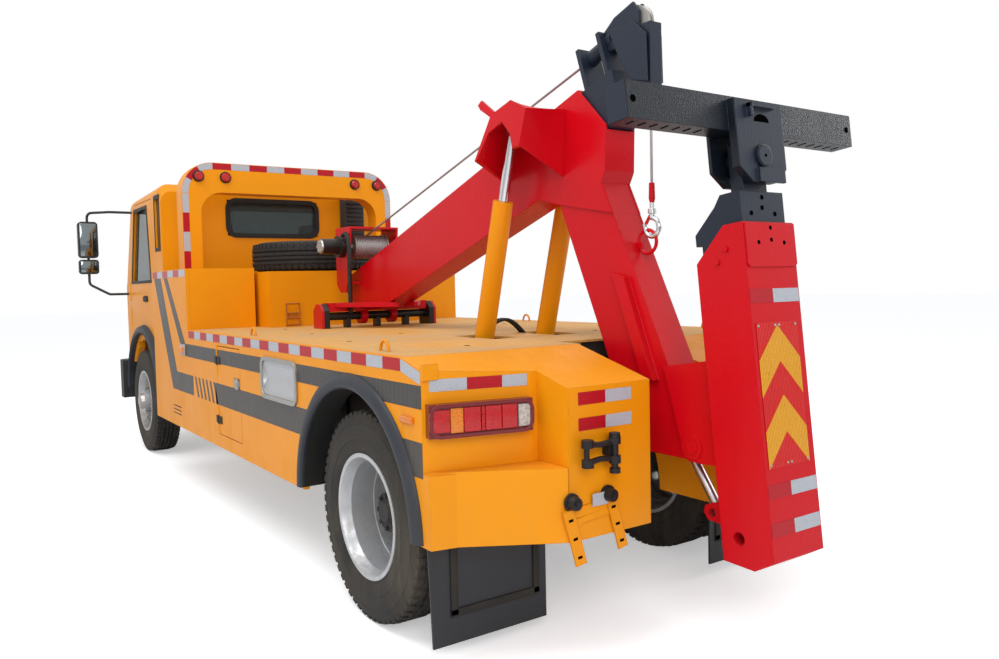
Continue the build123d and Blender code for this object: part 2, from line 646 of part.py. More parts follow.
# Cab
def cab_outline(inset=0):
    """The cab's side outline, moved inwards by the wall."""
    return [(CAB_BACK_X + inset, CAB_FLOOR_Z - (1 if inset else 0)),
            (CAB_BACK_X + inset, CAB_ROOF_Z - 70 - inset / 2),
            (CAB_BACK_X + 90 + inset / 2, CAB_ROOF_Z - inset),
            (CAB_ROOF_FRONT_X - inset / 2, CAB_ROOF_FRONT_Z - inset),
            (SCREEN_X - inset, SCREEN_Z), (NOSE_X - inset, SCREEN_Z - 90),
            (NOSE_X - inset, CAB_FLOOR_Z - (1 if inset else 0))]


def cab_solid():
    """The cab's outer form with rounded roof edges and front corners."""
    form = side_plate(cab_outline(), -CAB_Y, CAB_Y)
    form += block(WHEELBASE + 300, NOSE_X, -CAB_Y, CAB_Y, BUMPER_Z1, CAB_FLOOR_Z)
    roof_edges = [e for e in form.edges() if abs(e.center().Z - CAB_ROOF_Z) < 60]
    form = fillet([e for e in roof_edges if abs(abs(e.center().Y) - CAB_Y) < 1], ROOF_ROUND)
    front = [e for e in form.edges().filter_by(Axis.Z) if e.center().X > NOSE_X - 5]
    return fillet(front, 110)


def door_outline(grow=0):
    """The side door's outline in side view."""
    return [(SIDE_DOOR_BACK_X - grow, SIDE_DOOR_Z0 - grow), (SIDE_DOOR_BACK_X - grow, SIDE_DOOR_Z1 + grow),
            (5060 + grow / 2, SIDE_DOOR_Z1 + grow), (SIDE_DOOR_FRONT_X + grow, SCREEN_Z + grow / 4),
            (SIDE_DOOR_FRONT_X + grow, SIDE_DOOR_Z0 - grow)]


def side_window():
    """The door window's outline in side view."""
    return [(4450, 1570), (4530, 2235), (5035, 2235), (5255, 1570)]


def cab_shell():
    """Hollow cab: floor, walls and roof, with every window, door opening and wheel arch cut."""
    outer = cab_solid()
    inner = side_plate(cab_outline(CAB_WALL), -CAB_Y + CAB_WALL, CAB_Y - CAB_WALL)
    inner &= block(CAB_BACK_X, NOSE_X, -CAB_Y, CAB_Y, CAB_FLOOR_Z + 60, CAB_ROOF_Z)
    shell = outer - inner
    shell -= block(WHEELBASE + 299, NOSE_X - 60, -CAB_Y + 60, CAB_Y - 60, BUMPER_Z1 - 1, CAB_FLOOR_Z)
    arch = bar_y(WHEELBASE, TYRE_R, FRONT_ARCH_R, 480, CAB_Y + 1)
    shell -= arch
    shell -= mirrored(arch)
    for shape in (side_plate(door_outline(DOOR_GAP), CAB_Y - CAB_WALL - 1, CAB_Y + 1),
                  side_plate([(4055, 1830), (4055, 2290), (4225, 2290), (4225, 1830)],
                             CAB_Y - CAB_WALL - 1, CAB_Y + 1)):
        shell -= shape
        shell -= mirrored(shape)
    shell -= end_plate([(-420, 1955), (-420, 2270), (420, 2270), (420, 1955)], CAB_BACK_X - 1,
                       CAB_BACK_X + CAB_WALL + 2)
    shell -= screen_panel(-CAB_WALL - 20, 60)
    shell -= block(4150, 5262, -310, 310, CAB_FLOOR_Z - 1, CAB_FLOOR_Z + 121)
    left = shell & block(CAB_BACK_X, NOSE_X, 0, CAB_Y, 0, CAB_ROOF_Z)
    left = hinge_half(left, SIDE_DOOR_FRONT_X + DOOR_GAP, CAB_Y, CAB_HINGE_Z, False)
    return left + mirrored(left)


def screen_panel(inner, outer):
    """A slab as wide and high as the windscreen, between two distances from the cab's front line."""
    def lean(z):
        share = (CAB_ROOF_FRONT_Z - z) / (CAB_ROOF_FRONT_Z - SCREEN_Z)
        return CAB_ROOF_FRONT_X + (SCREEN_X - CAB_ROOF_FRONT_X) * share
    rows = [(GLASS_Z0, inner), (GLASS_Z0, outer), (GLASS_Z1, outer), (GLASS_Z1, inner)]
    return side_plate([(lean(z) + out, z) for z, out in rows], -GLASS_Y, GLASS_Y)


def cab_glass():
    """Windscreen, rear window and quarter windows of the cab."""
    screen = screen_panel(-30, -22)
    rear = block(CAB_BACK_X + 18, CAB_BACK_X + 18 + GLASS_T, -420, 420, 1955, 2270)
    quarter = block(4055, 4225, CAB_Y - 24, CAB_Y - 24 + GLASS_T, 1830, 2290)
    return [screen, rear] + both_sides(quarter)


def side_door():
    """Left cab door, as thick as the cab's wall, with its window cut and a handle recess."""
    wall = side_plate(door_outline(), CAB_Y - CAB_WALL, CAB_Y)
    handle = block(4610, 4770, CAB_Y - 14, CAB_Y + 1, 1385, 1440)
    door = wall - side_plate(side_window(), CAB_Y - CAB_WALL - 1, CAB_Y + 1) - handle
    return hinge_half(door, SIDE_DOOR_FRONT_X + DOOR_GAP, CAB_Y, CAB_HINGE_Z, True)


def side_glass():
    """Left door glass."""
    return side_plate(side_window(), CAB_Y - 28, CAB_Y - 28 + GLASS_T)


def cab_interior():
    """Seats, dashboard and steering wheel seen through the glass."""
    floor = CAB_FLOOR_Z + 60
    seats = []
    for y in (560, -560):
        seat = block(4330, 4820, y - 230, y + 230, floor, floor + 320)
        back = side_plate([(4210, floor + 250), (4330, floor + 250), (4330, floor + 330),
                           (4250, floor + 1000),
                           (4130, floor + 1000)], y - 225, y + 225)
        seats.append(seat + back)
    dash = side_plate([(5250, floor), (5240, 1560), (5320, 1630), (5395, 1590), (5470, 1470), (5500, 1400),
                       (5500, floor)], -900, 900)
    dash -= block(4150, 5262, -310, 310, floor - 1, CAB_FLOOR_Z + 121)
    column = rod((5270, 560, 1480), (5060, 560, 1640), 22)
    hub = Plane(origin=(5060, 560, 1640), z_dir=(-210, 0, 160)).location
    wheel = hub * (Cylinder(231, 26) - Cylinder(201, 27))
    spoke = hub * Box(50, 420, 14)
    return seats + [dash + column + wheel + spoke]


def front_end():
    """Front bumper with its fog lamp pockets, and the grille panel above it."""
    bumper = block(NOSE_X - 60, BUMPER_X, -1040, 1040, BUMPER_Z0, BUMPER_Z1 - 5)
    bumper = fillet([e for e in bumper.edges().filter_by(Axis.Z) if e.center().X > BUMPER_X - 5], 120)
    for y in (760, -760):
        bumper -= block(BUMPER_X - 30, BUMPER_X + 1, y - 90, y + 90, 540, 650)
    mount = block(5400, NOSE_X - 60, RAIL_Y - 30, RAIL_Y + 30, RAIL_Z + 10, RAIL_Z + 100)
    mount -= block(5399, RAIL_FRONT_X, RAIL_Y - 50, RAIL_Y + 50, RAIL_Z, RAIL_Z + 101)
    bumper += mount + mirrored(mount)
    grille = block(NOSE_X, NOSE_X + 25, -560, 560, 1080, 1290)
    for row in range(4):
        z = 1105 + 48 * row
        grille -= block(NOSE_X + 8, NOSE_X + 26, -520, 520, z, z + 26)
    return [bumper, grille]


def mirror_set():
    """Left mirror: bowed arm from the door pillar, a tall head and a small wide-angle head."""
    x, y, z = MIRROR_X, MIRROR_Y, 1990
    head = block(x - MIRROR_T / 2, x + MIRROR_T / 2, y - MIRROR_W / 2, y + MIRROR_W / 2, z - MIRROR_H / 2,
                 z + MIRROR_H / 2)
    small = block(x - 30, x + 30, y - MIRROR_W / 2, y + MIRROR_W / 2, 1660, 1800)
    head = fillet(head.edges().filter_by(Axis.X), 34)
    small = fillet(small.edges().filter_by(Axis.X), 28)
    path = FilletPolyline((5160, CAB_Y - 8, 2235), (5320, 1150, 2250), (x, y, 2250), (x, y, 1560),
                          (5455, 1150, 1460), (5440, CAB_Y - 8, 1460), radius=50)
    arm = sweep(Plane(origin=path @ 0, z_dir=path % 0) * Circle(MIRROR_ARM_R), path=path)
    return (arm - cab_solid()) + head + small


# Boom
SLOPE = math.tan(math.radians(BOOM_SLOPE_DEG))
ALONG = (-math.cos(math.radians(BOOM_SLOPE_DEG)), math.sin(math.radians(BOOM_SLOPE_DEG)))
DOWN = (-ALONG[1], ALONG[0])


def boom_top(x):
    """Height of the boom's top line at x."""
    return BOOM_TOP_END[1] + (BOOM_TOP_END[0] - x) * SLOPE


def boom_point(along, down):
    """A side-view point from the boom's top end: along the boom, and down square to it."""
    return (BOOM_TOP_END[0] + ALONG[0] * along + DOWN[0] * down,
            BOOM_TOP_END[1] + ALONG[1] * along + DOWN[1] * down)


def boom_under(x):
    """Height of the boom's underside at x."""
    return boom_top(x) - BOOM_DEEP / math.cos(math.radians(BOOM_SLOPE_DEG))


def boom():
    """Main boom and fixed rear leg as one box section, with foot, lift hoods and winch frame."""
    px, pz = BOOM_PIVOT
    beam = side_plate([(BOOM_FOOT_X, BOOM_FOOT_Z), (BOOM_FOOT_X, boom_top(BOOM_FOOT_X)), BOOM_TOP_END,
                       (-487, 2182),
                       (-480, 1979), (-452, 1926), (-520, 1785), KNEE, (6, boom_under(6)),
                       (1750, boom_under(1750)), (px - 60, pz + 40), (px + 80, pz + 40)], -BOOM_HALF_W,
                      BOOM_HALF_W)
    leg = side_plate([(-452, 1926), (-1005, 775), (-990, 745), (-940, 738), (-652, 738), (-147, 1855)],
                     -LEG_HALF_W, LEG_HALF_W)
    inside = LEG_HALF_W - LEG_WALL
    hollow = side_plate([(-470, 1780), (-835, 1020), (-1200, 1020), (-1200, 700), (-640, 700), (-664, 740),
                         (-240, 1700)], -inside, inside)
    cavity = side_plate([boom_point(-INNER_IN - 40, BOOM_WALL), boom_point(500, BOOM_WALL),
                         boom_point(500, BOOM_WALL + INNER_DEEP + 2 * INNER_GAP),
                         boom_point(-INNER_IN - 40, BOOM_WALL + INNER_DEEP + 2 * INNER_GAP)],
                        -INNER_HALF_W - INNER_GAP, INNER_HALF_W + INNER_GAP)
    body = beam + leg - hollow - cavity
    body += fold_pins()
    pad_top = BOOM_WALL + INNER_GAP + 40
    pad = side_plate([boom_point(-170, pad_top), boom_point(-30, pad_top), boom_point(-30, pad_top + 150),
                      boom_point(-170, pad_top + 150)], INNER_HALF_W + RUN_GAP, INNER_HALF_W + INNER_GAP)
    body += pad
    body += mirrored(pad)
    foot = block(px - 45, px + 60, -FOOT_BEAM_Y, FOOT_BEAM_Y, pz + SHAFT_R + 4, pz + 92)
    for y in (115, -115):
        lug = bar_y(px, pz, 58, y - 22, y + 22) + block(px - 45, px + 45, y - 22, y + 22, pz, pz + 60)
        foot += lug
    gusset = plan_plate([(px - 40, FOOT_BEAM_Y - 40), (px - 40, 60), (1560, 60), (1560, BOOM_HALF_W)],
                        pz + 62, pz + 92)
    foot += gusset + mirrored(gusset)
    body += foot
    body -= bar_y(px, pz, SHAFT_R + RUN_FIT, -400, 400)
    return body


def lift_hood():
    """Left hood over a lift cylinder's rod end: sloped plates from the boom's side, open below."""

    def shape(y0, y1, rows_in, rows_out):
        inner = make_face(Polyline(*[(x, y0, z) for x, z in rows_in], close=True))
        outer = make_face(Polyline(*[(x, y1, z) for x, z in rows_out], close=True))
        return loft([inner, outer], ruled=True)
    at_boom = [(300, 2010), (190, 2255), (20, 2330), (-215, 2300), (-190, 1985)]
    at_edge = [(211, 2097), (60, 2300), (-105, 2341), (-220, 2282), (-162, 2120)]
    cut_boom = [(330, 1900), (180, 2236), (15, 2312), (-198, 2286), (-180, 1880)]
    cut_edge = [(215, 2040), (52, 2284), (-104, 2324), (-203, 2272), (-140, 2040)]
    hood = shape(BOOM_HALF_W, LIFT_Y + 130, at_boom, at_edge)
    hood -= shape(BOOM_HALF_W - 1, LIFT_Y + 118, cut_boom, cut_edge)
    notch = side_plate([(-92, 2185), (-30, 2252), (85, 2216), (260, 2020), (-160, 1900)], LIFT_Y + 100,
                       LIFT_Y + 140)
    ear = side_plate([(20, 2296), (37, 2312), (140, 2384), (170, 2366), (150, 2340), (60, 2286)],
                     LIFT_Y + 118, LIFT_Y + 130)
    return hood - notch + ear


def winch_frame():
    """Winch frame on the boom foot: two side plates, a top plate, a face plate and the motor."""
    x0, x1 = WINCH_X - 120, WINCH_X + 120
    plates = None
    for y in (-WINCH_HALF_W, WINCH_HALF_W - 14):
        plate = side_plate([(x0 + 30, boom_top(x0) - 20), (x0, WINCH_TOP_Z), (x1, WINCH_TOP_Z), (x1, 1500),
                            (x1 - 60, 1440),
                            (x0 + 90, 1440)], y, y + 14)
        plate -= bar_y(WINCH_X, WINCH_Z, 30.1, y - 1, y + 15)
        plates = plate if plates is None else plates + plate
    plates += block(x0, x1, -WINCH_HALF_W, WINCH_HALF_W, WINCH_TOP_Z - 14, WINCH_TOP_Z)
    shelf = block(x0 + 50, x1, -WINCH_HALF_W, WINCH_HALF_W, 1500, 1514)
    plates += shelf - block(x0, BOOM_FOOT_X, -BOOM_HALF_W, BOOM_HALF_W, 1400, 1600)
    motor = bar_y(WINCH_X, WINCH_Z, WINCH_MOTOR_R, WINCH_HALF_W, WINCH_HALF_W + WINCH_MOTOR_L)
    motor += bar_y(WINCH_X, WINCH_Z, WINCH_MOTOR_R + 22, WINCH_HALF_W, WINCH_HALF_W + 45)
    return [plates - boom_envelope(), motor]


def boom_envelope():
    """The space that the main boom's section takes at its foot."""
    return side_plate([(BOOM_FOOT_X, BOOM_FOOT_Z), (BOOM_FOOT_X, boom_top(BOOM_FOOT_X)),
                       (1500, boom_top(1500)),
                       (1500, boom_under(1500)), (1940, 1320), (2080, 1320)], -BOOM_HALF_W, BOOM_HALF_W)


def winch_drum():
    """Winch drum with flanges, wound rope and stub shafts."""
    drum = bar_y(WINCH_X, WINCH_Z, DRUM_R + 22, -DRUM_HALF_L, DRUM_HALF_L)
    for y in (-DRUM_HALF_L, DRUM_HALF_L - 10):
        drum += bar_y(WINCH_X, WINCH_Z, DRUM_FLANGE_R, y, y + 10)
    return drum + bar_y(WINCH_X, WINCH_Z, 30, -WINCH_HALF_W, WINCH_HALF_W - RUN_GAP)


def inner_boom():
    """Sliding inner boom: a box section with the head's two upright plates and the swivel tube."""
    top = BOOM_WALL + INNER_GAP
    tube = side_plate([boom_point(-INNER_IN, top), boom_point(INNER_OUT, top),
                       boom_point(INNER_OUT, top + INNER_DEEP), boom_point(-INNER_IN, top + INNER_DEEP)],
                      -INNER_HALF_W, INNER_HALF_W)
    tube -= side_plate([boom_point(-INNER_IN - 1, top + INNER_WALL),
                        boom_point(INNER_OUT - INNER_WALL, top + INNER_WALL),
                        boom_point(INNER_OUT - INNER_WALL, top + INNER_DEEP - INNER_WALL),
                        boom_point(-INNER_IN - 1, top + INNER_DEEP - INNER_WALL)],
                       -INNER_HALF_W + INNER_WALL, INNER_HALF_W - INNER_WALL)
    head = None
    for along in (HEAD_FRONT, HEAD_BACK):
        plate = side_plate([boom_point(along, top + 1), boom_point(along + HEAD_PLATE_T, top + 1),
                            boom_point(along + HEAD_PLATE_T, top - HEAD_TUBE_RISE - 48),
                            boom_point(along, top - HEAD_TUBE_RISE - 48)], -INNER_HALF_W + 8,
                           INNER_HALF_W - 8)
        head = plate if head is None else head + plate
    axis0, axis1 = head_point(HEAD_FRONT), head_point(HEAD_BACK + HEAD_PLATE_T)
    head += rod(axis0, axis1, HEAD_TUBE_R)
    bore = rod(head_point(HEAD_FRONT - 5), head_point(HEAD_BACK + HEAD_PLATE_T + 5), HEAD_TUBE_R - 12)
    return tube + head - bore


def head_point(along, down=0):
    """A point on the swivelling head's axis, which runs along the boom above the inner section."""
    x, z = boom_point(along, BOOM_WALL + INNER_GAP - HEAD_TUBE_RISE + down)
    return (x, 0, z)


def sheave_centre():
    """Centre of the sheave, hung below the swivel axis so that the rope leaves along it."""
    return head_point(HEAD_BACK + HEAD_PLATE_T + SHEAVE_OUT, SHEAVE_DROP)


def swivel_head():
    """Swivelling sheave block: hollow trunnion, two cheeks, a back guard and the sheave's pin."""
    trunnion = rod(head_point(HEAD_FRONT - 4), head_point(HEAD_BACK + HEAD_PLATE_T + 30),
                   HEAD_TUBE_R - 12 - RUN_FIT)
    collar = rod(head_point(HEAD_BACK + HEAD_PLATE_T + 2), head_point(HEAD_BACK + HEAD_PLATE_T + 30),
                 HEAD_TUBE_R + 4)
    cx, _, cz = sheave_centre()
    half = SHEAVE_W / 2 + 4

    def at(along, down):
        x, _, z = head_point(along, down)
        return (x, z)

    back = HEAD_BACK + HEAD_PLATE_T
    outline = [at(back + 2, 48), at(back + 2, -46), at(back + 80, -72), at(back + 205, -72),
               at(back + 222, -20),
               at(back + 190, 85), at(back + 120, 85)]
    block_shape = None
    for y in (-half - CHEEK_T, half):
        cheek = side_plate(outline, y, y + CHEEK_T)
        block_shape = cheek if block_shape is None else block_shape + cheek
    web = side_plate([at(back + 2, 50), at(back + 2, -50), at(back + 24, -50), at(back + 24, 50)], -half,
                     half)
    pin = bar_y(cx, cz, 18, -half - CHEEK_T - 8, half + CHEEK_T + 8)
    gx0, gx1 = cx - SHEAVE_R - 25, cx - SHEAVE_R + 66
    guard = block(gx0, gx1, -GUARD_HALF_W, GUARD_HALF_W, cz - 280, cz - 10)
    guard -= block(gx0 + 6, gx1 + 1, -GUARD_HALF_W + 6, GUARD_HALF_W - 6, cz - 281, cz - 9)
    head = trunnion + collar + block_shape + web
    head -= rod(head_point(HEAD_FRONT - 9), head_point(back + 40), ROPE_BORE_R)
    return head + pin + guard


def sheave():
    """Grooved rope sheave."""
    cx, _, cz = sheave_centre()
    half = SHEAVE_W / 2
    section = [(18 + RUN_FIT, -half), (SHEAVE_R, -half), (SHEAVE_R, -half + 5), (SHEAVE_R - 18, -5),
               (SHEAVE_R - 18, 5),
               (SHEAVE_R, half - 5), (SHEAVE_R, half), (18 + RUN_FIT, half)]
    wheel = revolve(make_face(Polyline(*[(r, y, 0) for r, y in section], close=True)), axis=Axis.Y)
    return Location((cx, 0, cz)) * wheel


def flat_ring(x, z, outer, inner, thick):
    """A forged ring that lies in the side view, with its edges bevelled."""
    ring = bar_y(x, z, outer, -thick / 2, thick / 2) - bar_y(x, z, inner, -thick, thick)
    return chamfer(ring.edges().filter_by(GeomType.CIRCLE), (outer - inner) / 4)


def hook(main_boom):
    """Rope end made fast on the leg: ferrule, swivel hook and the welded bail it hangs in."""
    x = sheave_centre()[0] - SHEAVE_R + 9
    ferrule = rod((x, 0, 1905), (x, 0, 1835), 13)
    shank = rod((x, 0, 1840), (x, 0, 1760), 20)
    ring = flat_ring(x, 1712, 53, 27, 26)
    eye = flat_ring(x + 28, 1650, 60, 44, 16)
    leg_at = leg_rear_x(1650)
    lug = block(x + 60, leg_at + 12, -8, 8, 1622, 1650)
    return ferrule + shank + ring + (eye + lug - main_boom)


def leg_rear_x(z):
    """The leg's rear face at a height."""
    return -452 - (1926 - z) * (1005 - 452) / (1926 - 775)


# Lift cylinders
def unit(start, end):
    """Unit vector between two side-view points."""
    dx, dz = end[0] - start[0], end[1] - start[1]
    length = math.hypot(dx, dz)
    return (dx / length, dz / length), length


def lift_cylinders():
    """Barrels on the frame and rods with plain eyes that reach into the hoods."""
    (ux, uz), length = unit(LIFT_FOOT, LIFT_EYE)
    fx, fz = LIFT_FOOT
    def at(s, y):
        return (fx + ux * s, y, fz + uz * s)
    barrel = rod(at(80, LIFT_Y), at(LIFT_BARREL_L, LIFT_Y), LIFT_BARREL_R)
    barrel -= rod(at(120, LIFT_Y), at(LIFT_BARREL_L + 1, LIFT_Y), LIFT_ROD_R + 8)
    gland = rod(at(LIFT_BARREL_L - 40, LIFT_Y), at(LIFT_BARREL_L, LIFT_Y), LIFT_BARREL_R)
    gland -= rod(at(LIFT_BARREL_L - 41, LIFT_Y), at(LIFT_BARREL_L + 1, LIFT_Y), LIFT_ROD_R + RUN_FIT)
    foot = bar_y(fx, fz, 46, LIFT_Y - 36, LIFT_Y + 36) + rod(at(0, LIFT_Y), at(85, LIFT_Y), 40)
    barrel = barrel + gland + foot - bar_y(fx, fz, SHAFT_R - 4 + RUN_FIT, LIFT_Y - 50, LIFT_Y + 50)
    shaft = rod(at(LIFT_BARREL_L - 520, LIFT_Y), at(length - 10, LIFT_Y), LIFT_ROD_R)
    eye = bar_y(LIFT_EYE[0], LIFT_EYE[1], LIFT_EYE_R, LIFT_Y - 24, LIFT_Y + 24)
    return both_sides(barrel), both_sides(shaft + eye)


# Folding arm
ARM_UP = (math.sin(math.radians(ARM_TILT_DEG)), math.cos(math.radians(ARM_TILT_DEG)))
ARM_FORE = (ARM_UP[1], -ARM_UP[0])


def arm_point(up, fore):
    """A side-view point from the arm's lower rear corner: up along it and forward square to it."""
    return (ARM_REAR_X + ARM_UP[0] * up + ARM_FORE[0] * fore,
            ARM_REAR_Z + ARM_UP[1] * up + ARM_FORE[1] * fore)


def folding_arm():
    """Folding arm: a box section with a chamfered top, a stepped foot, and the fork at its pivot."""
    outline = [arm_point(0, 0), arm_point(ARM_LENGTH, 0), arm_point(ARM_LENGTH, 90),
               arm_point(ARM_LENGTH - 130, ARM_DEEP),
               arm_point(-22, ARM_DEEP), arm_point(-42, 90)]
    envelope = side_plate(outline, -ARM_HALF_W, ARM_HALF_W)
    body = envelope
    side = STAGE_HALF_W + INNER_GAP
    cavity = side_plate([arm_point(ARM_LENGTH - STAGE_IN - 30, ARM_WALL),
                         arm_point(ARM_LENGTH + 10, ARM_WALL),
                         arm_point(ARM_LENGTH + 10, ARM_DEEP + 50),
                         arm_point(ARM_LENGTH - 190, ARM_DEEP + 50),
                         arm_point(ARM_LENGTH - 190, ARM_DEEP - ARM_WALL),
                         arm_point(ARM_LENGTH - STAGE_IN - 30, ARM_DEEP - ARM_WALL)], -side, side)
    body -= cavity
    pad = side_plate([arm_point(ARM_LENGTH - 150, 40), arm_point(ARM_LENGTH - 30, 40),
                      arm_point(ARM_LENGTH - 30, 120),
                      arm_point(ARM_LENGTH - 150, 120)], STAGE_HALF_W + RUN_GAP, side)
    body += pad
    body += mirrored(pad)
    px, pz = ARM_PIVOT
    fork_y = LEG_HALF_W + 6
    fork = side_plate([(-1130, 1165), (-830, 1118), (-850, 1060), (px + 62, pz + 20), (px + 40, pz - 55),
                       (px - 40, pz - 62),
                       (-1180, 745)], fork_y, fork_y + FORK_T)
    fork += bar_y(px, pz, 62, fork_y, fork_y + FORK_T)
    fork -= bar_y(px, pz, 30 + RUN_FIT, fork_y - 1, fork_y + FORK_T + 1)
    lug_x, lug_z = FOLD_EYE
    lug = side_plate([(lug_x - 160, lug_z + 75), (lug_x, lug_z + 42), (lug_x + 36, lug_z + 25),
                      (lug_x + 42, lug_z - 5),
                      (lug_x + 20, lug_z - 31), (lug_x - 8, lug_z - 34), (lug_x - 160, lug_z - 46)], 34, 50)
    lug -= bar_y(lug_x, lug_z, 18, 30, 52)
    for piece in (fork - envelope, lug - envelope):
        body += piece
        body += mirrored(piece)
    hole = arm_point(70, 150)
    return body - bar_y(hole[0], hole[1], 26, -ARM_HALF_W - 1, ARM_HALF_W + 1)


def fold_pins():
    """Stub pins of the fold pivot, one each side of the leg, and the fold cylinder's upper pin."""
    px, pz = ARM_PIVOT
    stub = bar_y(px, pz, 30, LEG_HALF_W - LEG_WALL, LEG_HALF_W + 6 + FORK_T + 8)
    return stub + mirrored(stub) + bar_y(FOLD_TOP[0], FOLD_TOP[1], 22, -LEG_HALF_W, LEG_HALF_W)


def second_stage():
    """Second stage: box section in the arm, flared nose plates, and the tongue for the crossbar."""
    lo, hi = ARM_LENGTH - STAGE_IN, ARM_LENGTH + STAGE_OUT
    gap = ARM_WALL + INNER_GAP
    tube = side_plate([arm_point(lo, gap), arm_point(hi, gap), arm_point(hi, 110),
                       arm_point(ARM_LENGTH - 20, ARM_DEEP - gap), arm_point(lo, ARM_DEEP - gap)],
                      -STAGE_HALF_W, STAGE_HALF_W)
    tube -= side_plate([arm_point(lo - 1, gap + 12), arm_point(hi - 12, gap + 12), arm_point(hi - 12, 100),
                        arm_point(ARM_LENGTH - 60, ARM_DEEP - gap - 12),
                        arm_point(lo - 1, ARM_DEEP - gap - 12)],
                       -STAGE_HALF_W + 12, STAGE_HALF_W - 12)
    nose = side_plate([arm_point(hi - 5, 100), arm_point(hi, 60), arm_point(ARM_LENGTH + 20, 60),
                       arm_point(ARM_LENGTH - 60, 215), arm_point(ARM_LENGTH - 60, 245),
                       arm_point(ARM_LENGTH - 15, 245)],
                      STAGE_HALF_W - 30, STAGE_HALF_W)
    tongue = side_plate([arm_point(hi - 20, gap + 26), arm_point(tongue_top(), gap + 26),
                         arm_point(tongue_top(), gap + 84),
                         arm_point(hi - 20, gap + 84)], -70, 70)
    boss = rod(swivel_axis(-ARM_WALL - INNER_GAP - 12 - RUN_GAP),
               swivel_axis(-ARM_WALL - INNER_GAP - 12 - CROSSBAR_D + RUN_GAP), TONGUE_BOSS_R)
    stage = tube + nose + mirrored(nose) + tongue + boss
    back, front = swivel_axis(-400), swivel_axis(400)
    return stage - rod(back, front, SWIVEL_R - 15 + RUN_FIT)


def tongue_top():
    """How far up the arm the tongue reaches: a swivel eye's radius above its axis."""
    return ARM_LENGTH + SWIVEL_OUT + SWIVEL_R + 15


def swivel_axis(out):
    """A point on the crossbar's swivel axis, square to the arm's rear face."""
    up = ARM_LENGTH + SWIVEL_OUT
    x, z = arm_point(up, -out)
    return (x, 0, z)


def crossbar():
    """Crossbar: a hollow bar with slotted underside, between clevis plates, and its swivel pin."""
    up = ARM_LENGTH + SWIVEL_OUT
    low, high = up + 95, up + 95 + CROSSBAR_H
    back = ARM_WALL + INNER_GAP + 12
    front = back + CROSSBAR_D
    def bar(y0, y1, grow):
        return side_plate([arm_point(low - grow, back - grow), arm_point(high + grow, back - grow),
                           arm_point(high + grow, front + grow), arm_point(low - grow, front + grow)], y0,
                          y1)
    body = bar(-CROSSBAR_HALF_L, CROSSBAR_HALF_L, 0) - bar(-CROSSBAR_HALF_L - 1, CROSSBAR_HALF_L + 1,
                                                           -CROSSBAR_WALL)
    body += bar(-CROSSBAR_HALF_L, -CROSSBAR_HALF_L + 8, 0) + bar(CROSSBAR_HALF_L - 8, CROSSBAR_HALF_L, 0)
    clevis_outline = [(-CLEVIS_HALF_W, high - 15), (CLEVIS_HALF_W, high - 15), (CLEVIS_HALF_W, up - 45),
                      (CLEVIS_HALF_W - 70, up - 100), (-CLEVIS_HALF_W + 70, up - 100),
                      (-CLEVIS_HALF_W, up - 45)]
    def plate(fore, thick):
        x, z = arm_point(0, fore)
        plane = Plane(origin=(x, 0, z), x_dir=(0, 1, 0), z_dir=(ARM_FORE[0], 0, ARM_FORE[1]))
        flip = 1 if plane.y_dir.Z > 0 else -1
        face = make_face(Polyline(*[(y, flip * u) for y, u in clevis_outline], close=True))
        return extrude(plane * face, amount=thick)
    rear = plate(back - CLEVIS_T, CLEVIS_T)
    fore = plate(front, 14)
    pin = rod(swivel_axis(-front - 14), swivel_axis(-(back - CLEVIS_T - 12)), SWIVEL_R - 15)
    disc = rod(swivel_axis(-(back - CLEVIS_T)), swivel_axis(-(back - CLEVIS_T - 12)), SWIVEL_R)
    return body + rear + fore + pin + disc


def fold_cylinder():
    """Cylinder inside the leg that folds the arm, and its rod with a plain eye at the arm's lug."""
    (ux, uz), length = unit(FOLD_TOP, FOLD_EYE)
    tx, tz = FOLD_TOP
    def at(s):
        return (tx + ux * s, 0, tz + uz * s)
    barrel = rod(at(0), at(FOLD_BARREL_L), FOLD_BARREL_R)
    barrel -= rod(at(FOLD_BORE_TOP), at(FOLD_BARREL_L - 25), FOLD_ROD_R + 8)
    barrel -= rod(at(FOLD_BARREL_L - 26), at(FOLD_BARREL_L + 1), FOLD_ROD_R + RUN_FIT)
    barrel += bar_y(tx, tz, 38, -30, 30)
    barrel -= bar_y(tx, tz, 22 + RUN_FIT, -FOLD_BARREL_R - 5, FOLD_BARREL_R + 5)
    shaft = rod(at(FOLD_BORE_TOP + FOLD_STROKE + 5), at(length - 10), FOLD_ROD_R)
    return barrel, shaft + bar_y(FOLD_EYE[0], FOLD_EYE[1], 30, -24, 24)


